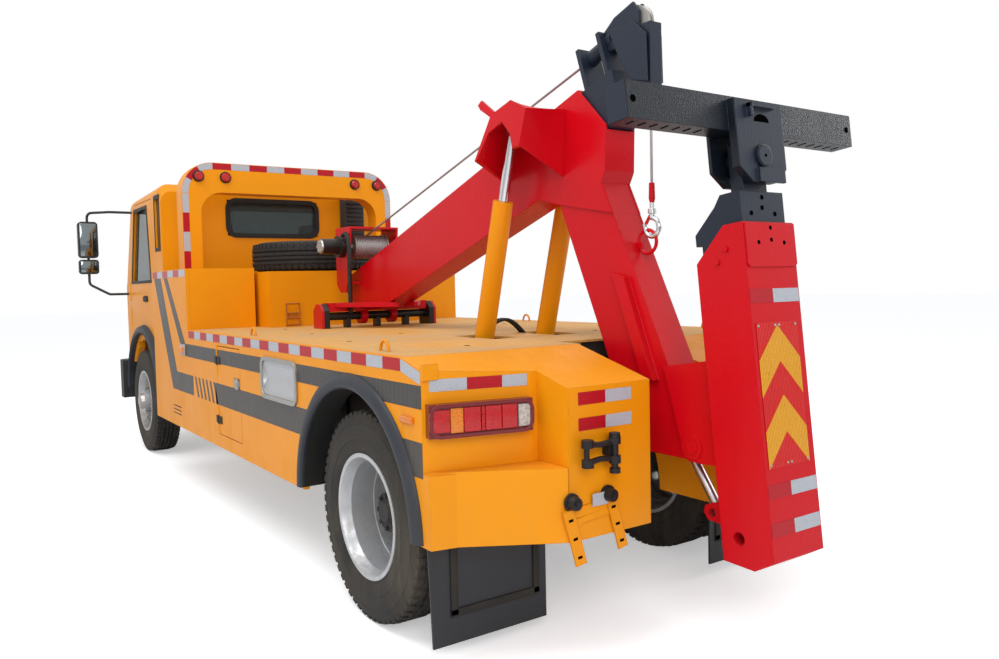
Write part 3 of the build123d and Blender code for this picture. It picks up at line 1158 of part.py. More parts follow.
def main():
    """Build every node and write it."""
    wheels()
    running_gear()
    save("chassis_frame", chassis())
    knuckle = steering_knuckle()
    save("knuckle_left", knuckle)
    save("knuckle_right", mirrored(knuckle))
    save("cab_shell", cab_shell())
    save("cab_glass", cab_glass())
    save("cab_interior", cab_interior())
    for side, flip in (("left", False), ("right", True)):
        for name, shape in (("cab_door", side_door()), ("cab_door_glass", side_glass()),
                            ("toolbox_door", toolbox_door())):
            save(f"{name}_{side}", mirrored(shape) if flip else shape)
    save("front_bumper", front_end())
    save("mirrors", both_sides(mirror_set()))
    save("lamps", lamps())
    save("deck", deck())
    save("side_skirts", both_sides(skirt()))
    save("toolboxes", both_sides(toolbox()))
    save("front_boxes", front_boxes())
    save("light_arch", light_arch())
    save("tail", tail())
    save("tail_brackets", [p for shape in tail_brackets() for p in both_sides(shape)])
    save("arch_flares", both_sides(arch_flare()))
    save("mud_flaps", both_sides(mud_flap()))
    save("boom_base", boom_base())
    main_boom = boom()
    save("boom", main_boom)
    save("lift_hoods", both_sides(lift_hood() - main_boom))
    save("winch_frame", winch_frame())
    save("winch_drum", winch_drum())
    save("hook", hook(main_boom))
    save("inner_boom", inner_boom())
    save("swivel_head", swivel_head())
    save("sheave", sheave())
    barrels, rods = lift_cylinders()
    save("lift_barrels", barrels)
    save("lift_rods", rods)
    save("folding_arm", folding_arm())
    save("second_stage", second_stage())
    save("crossbar", crossbar())
    barrel, shaft = fold_cylinder()
    save("fold_barrel", barrel)
    save("fold_rod", shaft)


main()
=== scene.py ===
from math import copysign, cos, pi, radians, sin, sqrt

import bmesh
import bpy
from mathutils import Matrix, Vector


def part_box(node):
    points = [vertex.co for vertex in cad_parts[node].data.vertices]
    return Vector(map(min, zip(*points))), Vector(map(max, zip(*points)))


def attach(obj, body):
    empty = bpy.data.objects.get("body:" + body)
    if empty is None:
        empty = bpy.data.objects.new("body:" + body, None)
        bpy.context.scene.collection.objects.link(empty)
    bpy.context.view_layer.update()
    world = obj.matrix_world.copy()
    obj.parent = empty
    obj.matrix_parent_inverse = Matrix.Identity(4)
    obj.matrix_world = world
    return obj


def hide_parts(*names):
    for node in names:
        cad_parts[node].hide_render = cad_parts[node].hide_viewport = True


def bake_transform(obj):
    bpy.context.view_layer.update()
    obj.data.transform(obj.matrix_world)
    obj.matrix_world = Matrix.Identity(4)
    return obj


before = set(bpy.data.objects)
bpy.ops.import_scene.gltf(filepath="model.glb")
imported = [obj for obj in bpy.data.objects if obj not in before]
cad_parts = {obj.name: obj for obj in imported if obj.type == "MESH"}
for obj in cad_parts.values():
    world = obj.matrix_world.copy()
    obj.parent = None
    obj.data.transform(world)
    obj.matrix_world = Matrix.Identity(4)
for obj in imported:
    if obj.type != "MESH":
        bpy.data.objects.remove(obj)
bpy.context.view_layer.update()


# Camera
# A viewer's eye stands behind the truck's left rear corner, a little above the deck.
# The lens, the aim and the small shift come from lines that run along, across and up the body.
camera = bpy.data.objects.new("viewpoint", bpy.data.cameras.new("viewpoint"))
bpy.context.collection.objects.link(camera)
bpy.context.scene.camera = camera
camera.data.sensor_fit = "HORIZONTAL"
camera.data.sensor_width = 36
camera.data.lens = 820.593 * 36 / 999
camera.data.shift_x = 0.01844
camera.data.shift_y = -0.0041
camera.data.clip_end = 200
yaw, pitch, roll = -0.595, -0.05, -0.022
aim = Vector((cos(pitch) * cos(yaw), cos(pitch) * sin(yaw), sin(pitch)))
right = aim.cross(Vector((0, 0, 1))).normalized()
above = right.cross(aim)
level_right = right * cos(roll) + above * sin(roll)
level_up = above * cos(roll) - right * sin(roll)
camera.matrix_world = Matrix.Translation((-5.4435, 2.657, 1.478)) @ Matrix(
    (level_right, level_up, -aim)).transposed().to_4x4()


# Floor and light
# A seamless pale floor under a white sky, with a broad soft lamp above and one behind the viewer.
# The floor only takes the truck's shadow; the lamps are weak enough that paint keeps its own colour.
def add_node(tree, kind, **settings):
    node = tree.nodes.new("ShaderNode" + kind)
    for socket, value in settings.items():
        node.inputs[socket].default_value = value
    return node


def join(source, output, target, entry):
    source.id_data.links.new(source.outputs[output], target.inputs[entry])


floor_mesh = bmesh.new()
bmesh.ops.create_grid(floor_mesh, x_segments=1, y_segments=1, size=60)
floor_data = bpy.data.meshes.new("floor")
floor_mesh.to_mesh(floor_data)
floor_mesh.free()
floor = bpy.data.objects.new("floor", floor_data)
bpy.context.collection.objects.link(floor)
floor_finish = bpy.data.materials.new("pale_floor")
floor_finish.use_nodes = True
floor_tree = floor_finish.node_tree
floor_tree.nodes.clear()
floor_out = add_node(floor_tree, "OutputMaterial")
floor_mix = add_node(floor_tree, "MixShader")
floor_matt = add_node(floor_tree, "BsdfDiffuse", Color=(0.93, 0.93, 0.93, 1))
floor_glow = add_node(floor_tree, "Emission", Strength=0.42)
floor_path = add_node(floor_tree, "LightPath")
floor_add = add_node(floor_tree, "AddShader")
join(floor_matt, 0, floor_add, 0)
join(floor_glow, 0, floor_add, 1)
join(floor_path, "Is Camera Ray", floor_mix, 0)
join(floor_matt, 0, floor_mix, 1)
join(floor_add, 0, floor_mix, 2)
join(floor_mix, 0, floor_out, "Surface")
floor.data.materials.append(floor_finish)

sky = bpy.data.worlds.new("white_sky")
bpy.context.scene.world = sky
sky.use_nodes = True
sky_tree = sky.node_tree
sky_tree.nodes.clear()
sky_out = add_node(sky_tree, "OutputWorld")
sky_mix = add_node(sky_tree, "MixShader")
sky_light = add_node(sky_tree, "Background", Color=(0.95, 0.97, 1, 1), Strength=0.62)
sky_white = add_node(sky_tree, "Background", Color=(1, 1, 1, 1), Strength=1)
sky_path = add_node(sky_tree, "LightPath")
sky_seen = add_node(sky_tree, "Math")
sky_seen.operation = "MAXIMUM"
join(sky_path, "Is Camera Ray", sky_seen, 0)
join(sky_path, "Is Transmission Ray", sky_seen, 1)
sky_shiny = add_node(sky_tree, "Math")
sky_shiny.operation = "MAXIMUM"
join(sky_seen, 0, sky_shiny, 0)
join(sky_path, "Is Glossy Ray", sky_shiny, 1)
join(sky_shiny, 0, sky_mix, 0)
join(sky_light, 0, sky_mix, 1)
join(sky_white, 0, sky_mix, 2)
join(sky_mix, 0, sky_out, "Surface")

for lamp_name, lamp_place, lamp_size, lamp_power in (
        ("lamp_above", (-1.5, 3.5, 8.5), 6.5, 430),
        ("lamp_behind", (-8.5, 4.0, 4.5), 4.0, 230),
        ("lamp_right", (-4.0, -7.5, 4.5), 4.0, 140)):
    lamp = bpy.data.objects.new(lamp_name, bpy.data.lights.new(lamp_name, "AREA"))
    lamp.data.shape = "DISK"
    lamp.data.size = lamp_size
    lamp.data.energy = lamp_power
    lamp.location = lamp_place
    lamp.rotation_euler = (Vector((-0.5, 0, 1.0)) - lamp.location).to_track_quat("-Z", "Y").to_euler()
    bpy.context.collection.objects.link(lamp)
bpy.context.scene.view_settings.view_transform = "Standard"


# Painted sheet metal
# Cab, side panels, tail, storage boxes and light arch are pressed and folded sheet with glossy amber
# enamel. Dust lies on faces that look up and near the ground, and rain has left faint runs and specks.
def new_finish(name):
    finish = bpy.data.materials.new(name)
    finish.use_nodes = True
    tree = finish.node_tree
    return finish, tree, tree.nodes["Principled BSDF"], add_node(tree, "TexCoord")


def arithmetic(tree):
    def number(kind, first, second=0.0, clamp=False):
        node = add_node(tree, "Math")
        node.operation = kind
        node.use_clamp = clamp
        for socket, value in zip(node.inputs, (first, second)):
            if isinstance(value, (int, float)):
                socket.default_value = value
            else:
                tree.links.new(value, socket)
        return node.outputs[0]
    return number


def enamel(name, colour, dust, rough=0.32, dust_colour=(0.32, 0.25, 0.16), low=0.9, peel=0.0006, coat=0,
           grain=26, shine=0.26, beyond=None, metal=0.0):
    finish, tree, shader, place = new_finish(name)
    cloud = add_node(tree, "TexNoise", Scale=2.3, Detail=9, Roughness=0.62)
    streak_map = add_node(tree, "Mapping", Scale=(22, 22, 1.6))
    streak = add_node(tree, "TexNoise", Scale=1, Detail=6)
    speck = add_node(tree, "TexNoise", Scale=160, Detail=4)
    join(place, "Object", cloud, "Vector")
    join(place, "Object", streak_map, "Vector")
    join(streak_map, "Vector", streak, "Vector")
    join(place, "Object", speck, "Vector")

    number = arithmetic(tree)
    facing = add_node(tree, "NewGeometry")
    parts = add_node(tree, "SeparateXYZ")
    heights = add_node(tree, "SeparateXYZ")
    join(facing, "Normal", parts, 0)
    join(place, "Object", heights, 0)
    upward = number("MULTIPLY", number("MAXIMUM", parts.outputs["Z"], 0), 0.75)
    ground = number("MULTIPLY", number("SUBTRACT", low, heights.outputs["Z"], True), 0.9)
    settled = number("ADD", number("ADD", upward, ground), 0.16)
    patchy = number("MULTIPLY", number("SUBTRACT", cloud.outputs["Fac"], 0.36, True), 2.3)
    runs = number("MULTIPLY", number("SUBTRACT", streak.outputs["Fac"], 0.5, True), 1.6)
    fine = number("MULTIPLY", number("SUBTRACT", speck.outputs["Fac"], 0.56, True), 2.2)
    soil = number("MULTIPLY", settled, number("ADD", number("ADD", patchy, runs), fine))
    amount = number("MULTIPLY", soil, dust, True)
    tint = add_node(tree, "MixRGB", Color1=(*colour, 1), Color2=(*dust_colour, 1))
    shade = add_node(tree, "MixRGB")
    shade.blend_type = "MULTIPLY"
    shade.inputs["Color2"].default_value = (0.86, 0.84, 0.82, 1)
    tree.links.new(amount, tint.inputs["Fac"])
    if beyond:
        other_colour, along, limit, both_ways = beyond
        reach = number("ABSOLUTE", heights.outputs[along], 0) if both_ways else heights.outputs[along]
        parted = add_node(tree, "MixRGB", Color1=(*colour, 1), Color2=(*other_colour, 1))
        tree.links.new(number("GREATER_THAN", reach, limit), parted.inputs["Fac"])
        join(parted, 0, tint, "Color1")
    join(tint, 0, shade, "Color1")
    tree.links.new(number("MULTIPLY", patchy, 0.35, True), shade.inputs["Fac"])
    join(shade, 0, shader, "Base Color")
    tree.links.new(number("ADD", number("MULTIPLY", soil, 0.5), rough, True), shader.inputs["Roughness"])
    round_edge = add_node(tree, "Bevel")
    round_edge.samples = 3
    round_edge.inputs["Radius"].default_value = 0.005
    ripple = add_node(tree, "TexNoise", Scale=grain, Detail=3)
    join(place, "Object", ripple, "Vector")
    bump = add_node(tree, "Bump", Strength=0.5, Distance=peel)
    join(ripple, "Fac", bump, "Height")
    join(round_edge, 0, bump, "Normal")
    join(bump, 0, shader, "Normal")
    shader.inputs["Metallic"].default_value = metal
    shader.inputs["Specular IOR Level"].default_value = shine
    shader.inputs["Coat Weight"].default_value = coat
    shader.inputs["Coat Roughness"].default_value = 0.12
    return finish


def dress(node, finish):
    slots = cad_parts[node].data.materials
    if len(slots) == 0:
        slots.append(finish)
    for index in range(len(slots)):
        slots[index] = finish


amber = enamel("amber_enamel", (0.80, 0.285, 0.002), 0.26, dust_colour=(0.42, 0.27, 0.10), coat=0.02,
               shine=0.16)
for node in ("cab_shell", "cab_door_left", "cab_door_right", "side_skirts", "front_boxes", "tail",
             "light_arch", "toolbox_door_left", "toolbox_door_right", "lift_barrels"):
    dress(node, amber)


# Boom and arm paint
# The recovery gear is heavy welded plate under a thick glossy red, cleaner than the body.
scarlet = enamel("scarlet_enamel", (0.55, 0.0005, 0.007), 0.06, rough=0.26, low=0.4, coat=0.04, shine=0.17)
for node in ("boom", "lift_hoods", "folding_arm", "fold_barrel"):
    dress(node, scarlet)
base_paint = enamel("base_paint", (0.010, 0.010, 0.011), 0.2, rough=0.3, coat=0.1,
                    beyond=((0.55, 0.0005, 0.007), 1, 0.430, True))
dress("boom_base", base_paint)
winch_paint = enamel("winch_paint", (0.55, 0.0005, 0.007), 0.2, rough=0.3, coat=0.1,
        beyond=((0.010, 0.010, 0.011), 1, 0.191, False))
dress("winch_frame", winch_paint)


# Black steelwork
# Rope head, crossbar and second stage wear a pebbled slate-black coat; the chassis below is plain black.
slate = enamel("slate_coat", (0.009, 0.015, 0.029), 0.1, rough=0.36, dust_colour=(0.12, 0.12, 0.12),
               peel=0.0012, coat=0.02, grain=70, shine=0.3)
for node in ("swivel_head", "inner_boom", "second_stage"):
    dress(node, slate)
pebble = enamel("pebbled_coat", (0.005, 0.008, 0.014), 0.08, rough=0.28, dust_colour=(0.12, 0.12, 0.12),
                peel=0.005, grain=190, shine=0.28)
dress("crossbar", pebble)
frame_black = enamel("frame_black", (0.015, 0.015, 0.016), 1.0, rough=0.5, dust_colour=(0.13, 0.11, 0.085),
        low=1.3)
for node in ("chassis_frame", "engine_block", "front_axle", "rear_axle", "prop_shaft", "leaf_springs",
             "toolboxes", "knuckle_left", "knuckle_right"):
    dress(node, frame_black)


# Bright steel
# Rims are silver paint over pressed steel, cylinder rods are ground and chromed, small fittings are zinc
# plated.
silver = enamel("rim_silver", (0.50, 0.51, 0.53), 0.7, rough=0.3, dust_colour=(0.20, 0.16, 0.11), low=1.0,
                coat=0.2, metal=0.55)
for node in ("front_rim_left", "front_rim_right", "rear_rims_left", "rear_rims_right", "spare_rim"):
    dress(node, silver)
chrome = enamel("ground_chrome", (0.62, 0.63, 0.65), 0.25, rough=0.12, dust_colour=(0.3, 0.25, 0.2),
                peel=0.0002, metal=1.0)
for node in ("lift_rods", "fold_rod"):
    dress(node, chrome)
zinc = enamel("zinc_plate", (0.33, 0.32, 0.30), 0.6, rough=0.42, metal=0.85)
for node in ("winch_drum", "sheave", "fuel_tank"):
    dress(node, zinc)
forged = enamel("forged_black", (0.008, 0.008, 0.010), 0.08, rough=0.3, coat=0.05)
dress("tail_brackets", forged)


# Rubber and plastic
# Tyres and flaps are black rubber greyed by dust; bumper, mirrors, flares and cab trim are grained plastic.
rubber = enamel("road_rubber", (0.015, 0.014, 0.014), 0.85, rough=0.62, dust_colour=(0.10, 0.085, 0.065),
                low=1.4, peel=0.002)
for node in ("front_tyre_left", "front_tyre_right", "rear_tyres_left", "rear_tyres_right", "spare_tyre"):
    dress(node, rubber)
grained = enamel("grained_plastic", (0.022, 0.023, 0.025), 0.8, rough=0.5, dust_colour=(0.12, 0.11, 0.10),
                 peel=0.0015)
for node in ("front_bumper", "mirrors", "cab_interior"):
    dress(node, grained)
flap_rubber = enamel("flap_rubber", (0.008, 0.010, 0.014), 0.14, rough=0.3, dust_colour=(0.10, 0.09, 0.08),
        peel=0.003, grain=240, shine=0.5)
dress("mud_flaps", flap_rubber)
flare_plastic = enamel("flare_plastic", (0.020, 0.024, 0.032), 0.3, rough=0.45,
        dust_colour=(0.16, 0.15, 0.14), low=1.0, coat=0.05)
dress("arch_flares", flare_plastic)


# Glass and lamp lenses
# Cab panes are smoke-tinted safety glass; lamp lenses are ribbed red plastic over a pale reflector.
pane = bpy.data.materials.new("tinted_pane")
pane.use_nodes = True
pane_shader = pane.node_tree.nodes["Principled BSDF"]
pane_shader.inputs["Base Color"].default_value = (0.18, 0.22, 0.22, 1)
pane_shader.inputs["Roughness"].default_value = 0.03
pane_shader.inputs["Transmission Weight"].default_value = 0.85
pane_shader.inputs["IOR"].default_value = 1.2
for node in ("cab_glass", "cab_door_glass_left", "cab_door_glass_right"):
    dress(node, pane)
housing_red = enamel("lamp_housing", (0.16, 0.004, 0.008), 0.2, rough=0.2, coat=0.5,
        beyond=((0.55, 0.57, 0.60), 0, 2.0, False))
dress("lamps", housing_red)


# Deck plate
# The deck is chequered steel plate: short raised bars in a herringbone, worn bright and covered in dried
# tan dirt.
deck_tan = enamel("deck_tan", (0.66, 0.330, 0.060), 0.8, rough=0.5, dust_colour=(0.42, 0.34, 0.24))
dress("deck", deck_tan)


def raise_bars(finish, pitch):
    """Herringbone of short round-ended bars, each turned a quarter from its neighbours."""
    tree = finish.node_tree
    place = next(node for node in tree.nodes if node.type == "TEX_COORD")
    axes = add_node(tree, "SeparateXYZ")
    join(place, "Object", axes, 0)

    number = arithmetic(tree)
    across = number("DIVIDE", axes.outputs["X"], pitch)
    along = number("DIVIDE", axes.outputs["Y"], pitch)
    odd = number("FLOORED_MODULO", number("ADD", number("FLOOR", across), number("FLOOR", along)), 2)
    left = number("SUBTRACT", number("FRACT", across), 0.5)
    ahead = number("SUBTRACT", number("FRACT", along), 0.5)
    plus = number("MULTIPLY", number("ADD", left, ahead), 0.7071)
    minus = number("MULTIPLY", number("SUBTRACT", left, ahead), 0.7071)
    gap = number("SUBTRACT", plus, minus)
    long_way = number("SUBTRACT", plus, number("MULTIPLY", gap, odd))
    short_way = number("ADD", minus, number("MULTIPLY", gap, odd))
    past_end = number("MAXIMUM", number("SUBTRACT", number("ABSOLUTE", long_way), 0.34), 0)
    reach = number("SQRT",
                   number("ADD", number("POWER", past_end, 2),
            number("POWER", number("ABSOLUTE", short_way), 2)))
    bar = number("MULTIPLY", number("SUBTRACT", 0.17, reach), 11, True)
    bump = next(node for node in tree.nodes if node.type == "BUMP")
    bump.inputs["Distance"].default_value = 0.0022
    bump.inputs["Strength"].default_value = 1
    tree.links.new(bar, bump.inputs["Height"])
    shader = tree.nodes["Principled BSDF"]
    under = shader.inputs["Base Color"].links[0].from_socket
    worn = add_node(tree, "MixRGB", Color2=(0.70, 0.40, 0.12, 1))
    tree.links.new(number("MULTIPLY", bar, 0.35), worn.inputs["Fac"])
    tree.links.new(under, worn.inputs["Color1"])
    join(worn, 0, shader, "Base Color")


raise_bars(deck_tan, 0.032)


# Tyres
# Each tyre is a revolved carcass with bead, flexing sidewall, raised rings and a ribbed crown, and round
# both shoulders stand moulded lugs. Sizes are those of the solids: 0.94 m across and 0.235 m wide. A place
# is given by at(x, y, z), measured from the ground under the middle of the rear axle.
axle_height, wheelbase = 0.47, 4.77


def at(x, y, z):
    return Vector((x - 2.1965, y, z))


def add_piece(name, mesh, finish, body, smooth=True):
    bmesh.ops.recalc_face_normals(mesh, faces=mesh.faces)
    data = bpy.data.meshes.new(name)
    mesh.to_mesh(data)
    mesh.free()
    if smooth:
        data.shade_smooth()
        data.set_sharp_from_angle(angle=radians(32))
    data.materials.append(finish)
    made = bpy.data.objects.new(name, data)
    bpy.context.collection.objects.link(made)
    if body:
        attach(made, body)
    return made


def add_block(mesh, low, high):
    made = bmesh.ops.create_cube(mesh, size=1)["verts"]
    low, high = Vector(low), Vector(high)
    bmesh.ops.scale(mesh, verts=made, vec=high - low)
    bmesh.ops.translate(mesh, verts=made, vec=(low + high) / 2)
    return made


def add_pin(mesh, start, end, radius, sides=24, end_radius=None):
    start, end = Vector(start), Vector(end)
    made = bmesh.ops.create_cone(mesh, cap_ends=True, segments=sides, radius1=radius,
            radius2=radius if end_radius is None else end_radius, depth=(end - start).length)["verts"]
    facing = (end - start).to_track_quat("Z", "Y").to_matrix().to_4x4()
    bmesh.ops.transform(mesh, matrix=Matrix.Translation((start + end) / 2) @ facing, verts=made)


def add_plate(mesh, outline, thick):
    face = mesh.faces.new([mesh.verts.new(point) for point in outline])
    grown = bmesh.ops.extrude_face_region(mesh, geom=[face])
    bmesh.ops.translate(mesh, verts=[v for v in grown["geom"] if isinstance(v, bmesh.types.BMVert)],
                        vec=thick)


def wheel_ring(mesh, profile, steps):
    points = [mesh.verts.new((radius, width, 0)) for radius, width in profile]
    edges = [mesh.edges.new(pair) for pair in zip(points, points[1:])]
    if profile[0] != profile[-1]:
        edges.append(mesh.edges.new((points[-1], points[0])))
    bmesh.ops.spin(mesh, geom=points + edges, cent=(0, 0, 0), axis=(0, 1, 0), angle=2 * pi, steps=steps,
                   use_merge=True, use_duplicate=False)


half_profile = [(0.2735, 0.090), (0.276, 0.101), (0.290, 0.1085), (0.318, 0.1135), (0.336, 0.1150),
                (0.338, 0.1170), (0.347, 0.1170), (0.349, 0.1155), (0.380, 0.1150), (0.405, 0.1120),
                (0.407, 0.1135), (0.413, 0.1130), (0.415, 0.1105), (0.436, 0.1040), (0.451, 0.0965),
                (0.4585, 0.0880), (0.4600, 0.0720), (0.4610, 0.0620), (0.4680, 0.0600), (0.4690, 0.0400),
                (0.4560, 0.0375), (0.4560, 0.0290), (0.4690, 0.0265), (0.4695, 0.0045), (0.4570, 0.0035)]
carcass = half_profile + [(radius, -width) for radius, width in reversed(half_profile)]
mould = bmesh.new()
wheel_ring(mould, carcass, 96)
for count in range(58):
    for side in (1, -1):
        lug = bmesh.ops.create_cube(mould, size=1)["verts"]
        bmesh.ops.scale(mould, verts=lug, vec=(0.028, 0.036, 0.031))
        bmesh.ops.translate(mould, verts=lug, vec=(0.4535, 0.0815, 0))
        for vert in lug:
            if vert.co.x > 0.4535 and vert.co.y > 0.0815:
                vert.co.x -= 0.006
        bmesh.ops.scale(mould, verts=lug, vec=(1, side, 1))
        bmesh.ops.rotate(mould, verts=lug, cent=(0, 0, 0),
                         matrix=Matrix.Rotation(2 * pi * (count + 0.25 * side) / 58, 3, "Y"))
    for width, shift in ((0.0155, 0.0), (-0.0155, 0.5), (0.050, 0.25), (-0.050, 0.75)):
        notch = bmesh.ops.create_cube(mould, size=1)["verts"]
        bmesh.ops.scale(mould, verts=notch, vec=(0.004, 0.017, 0.034))
        bmesh.ops.translate(mould, verts=notch, vec=(0.4680, width, 0))
        bmesh.ops.rotate(mould, verts=notch, cent=(0.4680, width, 0),
                         matrix=Matrix.Rotation(radians(24 if width > 0 else -24), 3, "X"))
        bmesh.ops.rotate(mould, verts=notch, cent=(0, 0, 0),
                         matrix=Matrix.Rotation(2 * pi * (count + shift) / 58, 3, "Y"))
tyre_form = bpy.data.meshes.new("tyre_form")
mould.to_mesh(tyre_form)
mould.free()
for node, body, middle, lying in (
        ("front_tyre_left", "front_wheel_left", [(wheelbase, 0.9, axle_height)], False),
        ("front_tyre_right", "front_wheel_right", [(wheelbase, -0.9, axle_height)], False),
        ("rear_tyres_left", "rear_wheels_left", [(0, 0.99, axle_height), (0, 0.715, axle_height)], False),
        ("rear_tyres_right", "rear_wheels_right", [(0, -0.99, axle_height), (0, -0.715, axle_height)], False),
        ("spare_tyre", "root", [(2.975, 0.06, 1.605 + 0.1175)], True)):
    tread = bmesh.new()
    for place in middle:
        made_before = len(tread.verts)
        tread.from_mesh(tyre_form)
        tread.verts.ensure_lookup_table()
        turn = Matrix.Rotation(pi / 2, 4, "X") if lying else Matrix.Identity(4)
        bmesh.ops.transform(tread, matrix=Matrix.Translation(at(*place)) @ turn,
                            verts=tread.verts[made_before:])
    tyre = add_piece(node + "_moulded", tread, rubber, body)
    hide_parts(node)
bpy.data.meshes.remove(tyre_form)


# Wheel nuts and hub ends
# Ten plated nuts hold each wheel; the driven axle's flange is black with small bolts, and the front hubs
# end in a bright stepped cap.
nut_circle, bolt_circle = 0.132, 0.073
bright = enamel("bright_nuts", (0.42, 0.41, 0.39), 0.7, rough=0.3, low=0.9, metal=0.9)
for body, hub_y, disc_y, driven in (("front_wheel_left", 1.020, 0.942, False),
        ("front_wheel_right", -1.020, -0.942, False), ("rear_wheels_left", 0.978, 0.8665, True),
        ("rear_wheels_right", -0.978, -0.8665, True)):
    out = copysign(1, hub_y)
    axle_x = 0 if driven else wheelbase
    nuts = bmesh.new()
    for count in range(10):
        angle = 2 * pi * (count + 0.5) / 10
        x, z = axle_x + nut_circle * cos(angle), axle_height + nut_circle * sin(angle)
        for low, high, radius, sides in ((0, 0.006, 0.021, 24), (0.006, 0.028, 0.0175, 6),
                (0.028, 0.046, 0.0095, 12)):
            add_pin(nuts, at(x, disc_y + out * low, z), at(x, disc_y + out * high, z), radius, sides)
    add_piece(body + "_nuts", nuts, bright, body)
    cap = bmesh.new()
    if driven:
        add_pin(cap, at(0, disc_y, axle_height), at(0, hub_y, axle_height), 0.082, sides=40)
        add_pin(cap, at(0, hub_y, axle_height), at(0, hub_y + out * 0.010, axle_height), 0.088, sides=40)
        add_pin(cap, at(0, hub_y + out * 0.010, axle_height), at(0, hub_y + out * 0.030, axle_height), 0.058,
                sides=40, end_radius=0.044)
        for count in range(8):
            angle = 2 * pi * count / 8
            x, z = bolt_circle * cos(angle), axle_height + bolt_circle * sin(angle)
            add_pin(cap, at(x, hub_y + out * 0.010, z), at(x, hub_y + out * 0.022, z), 0.010, sides=6)
    else:
        add_pin(cap, at(wheelbase, hub_y, axle_height), at(wheelbase, hub_y + out * 0.034, axle_height),
                0.074, sides=40, end_radius=0.066)
        add_pin(cap, at(wheelbase, hub_y + out * 0.034, axle_height),
                at(wheelbase, hub_y + out * 0.040, axle_height), 0.050, sides=40, end_radius=0.044)
    add_piece(body + "_hub_end", cap, frame_black if driven else bright, body)


# Reflective tape
# Retro-reflective tape in red and white blocks of 150 mm, stuck along the deck's edge, the side boxes and
# the light arch, and in short lengths on the tail. It has a fine honeycomb behind a clear face.
side_face, arch_rear, tail_face = 1.126, 3.503, -0.860
tape_block, tape_thick = 0.15, 0.0012


def tape_finish(name, colour):
    finish, tree, shader, place = new_finish(name)
    cells = add_node(tree, "TexVoronoi")
    cells.feature = "DISTANCE_TO_EDGE"
    cells.inputs["Scale"].default_value = 150
    ramp = add_node(tree, "ValToRGB")
    ramp.color_ramp.elements[0].color = (*[value * 0.72 for value in colour], 1)
    ramp.color_ramp.elements[0].position = 0.02
    ramp.color_ramp.elements[1].color = (*colour, 1)
    ramp.color_ramp.elements[1].position = 0.09
    join(place, "Object", cells, "Vector")
    join(cells, "Distance", ramp, "Fac")
    join(ramp, "Color", shader, "Base Color")
    shader.inputs["Roughness"].default_value = 0.3
    shader.inputs["Specular IOR Level"].default_value = 0.25
    return finish


tape_red = tape_finish("tape_red", (0.44, 0.006, 0.014))
tape_white = tape_finish("tape_white", (0.44, 0.46, 0.50))
reds, whites = bmesh.new(), bmesh.new()


def lay_tape(start, end, across, outward):
    start, end, across = Vector(start), Vector(end), Vector(across)
    outward = Vector(outward).normalized() * tape_thick
    count = max(1, round((end - start).length / tape_block))
    for index in range(count):
        near, far = start.lerp(end, index / count), start.lerp(end, (index + 1) / count)
        mesh = whites if index % 2 else reds
        add_plate(mesh, [near, far, far + across, near + across], outward)


for side in (1, -1):
    edge = side * side_face
    lay_tape(at(2.70, edge, 1.145), at(-0.412, edge, 1.145), (0, 0, 0.05), (0, side, 0))
    lay_tape(at(3.72, edge, 1.580), at(2.745, edge, 1.580), (0, 0, 0.05), (0, side, 0))
    lay_tape(at(arch_rear, side * 0.926, 1.64), at(arch_rear, side * 0.926, 2.255), (0, -side * 0.05, 0),
             (-1, 0, 0))
    for step in range(12):
        mesh = reds if 4 <= step < 8 else whites
        corner = [at(arch_rear, side * (0.680 + reach * cos(turn)), 2.260 + reach * sin(turn)) for reach,
                  turn in ((0.246, radians(7.5 * step)), (0.246, radians(7.5 * step + 7.5)),
                           (0.196, radians(7.5 * step + 7.5)), (0.196, radians(7.5 * step)))]
        add_plate(mesh, corner, (-tape_thick, 0, 0))
    add_plate(whites,
              [at(x, edge, z) for x,
               z in ((-0.415, 1.145), (-0.566, 1.104), (-0.566, 1.152), (-0.415, 1.194))], (0,
            side * tape_thick, 0))
lay_tape(at(arch_rear, 0.678, 2.506), at(arch_rear, -0.678, 2.506), (0, 0, -0.05), (-1, 0, 0))

# The tail's tapes follow its slanted lamp panel and the flat rear of the two inner boxes.
for side in (1, -1):
    lamp_run = [at(-0.572 - 0.2111 * (side_face - y), side * y, 0) for y in (1.095, 0.945, 0.80, 0.695)]
    outward = Vector((-0.9784, side * 0.2066, 0))
    for index, mesh in ((0, whites), (1, reds), (2, whites)):
        near, far = lamp_run[index], lamp_run[index + 1]
        add_plate(mesh,
                  [near + Vector((0, 0, 1.075)), far + Vector((0, 0, 1.075)), far + Vector((0, 0, 1.122)),
                   near + Vector((0, 0, 1.122))], outward * tape_thick)
    for height in (1.005, 0.905):
        for span, mesh in (((0.60, 0.46), reds), ((0.46, 0.32), whites)):
            near, far = at(tail_face, side * span[0], height), at(tail_face, side * span[1], height)
            add_plate(mesh, [near, far, far + Vector((0, 0, 0.05)), near + Vector((0, 0, 0.05))],
                      (-tape_thick, 0, 0))
    near, far = at(-0.8725, side * 0.545, 0.605), at(-0.8725, side * 0.45, 0.605)
    add_plate(whites, [near, far, far + Vector((0, 0, 0.05)), near + Vector((0, 0, 0.05))],
              (-tape_thick, 0, 0))
add_piece("tape_red_blocks", reds, tape_red, "root", smooth=False)
add_piece("tape_white_blocks", whites, tape_white, "root", smooth=False)


# Side stripes
# Dark grey cut film on the side panels: a band under the deck's edge, a wider band lower down that sweeps
# up to the front as a broad slash, a narrow slash beside it, and a comb of slanted bars in the lower band.
film = enamel("dark_film", (0.045, 0.043, 0.042), 0.6, rough=0.34, low=1.2, dust_colour=(0.2, 0.17, 0.13),
              coat=0.06)
stripes = bmesh.new()
film_thick = 0.0009
arch_centre, arch_reach = (0.06, 0.48), 0.612


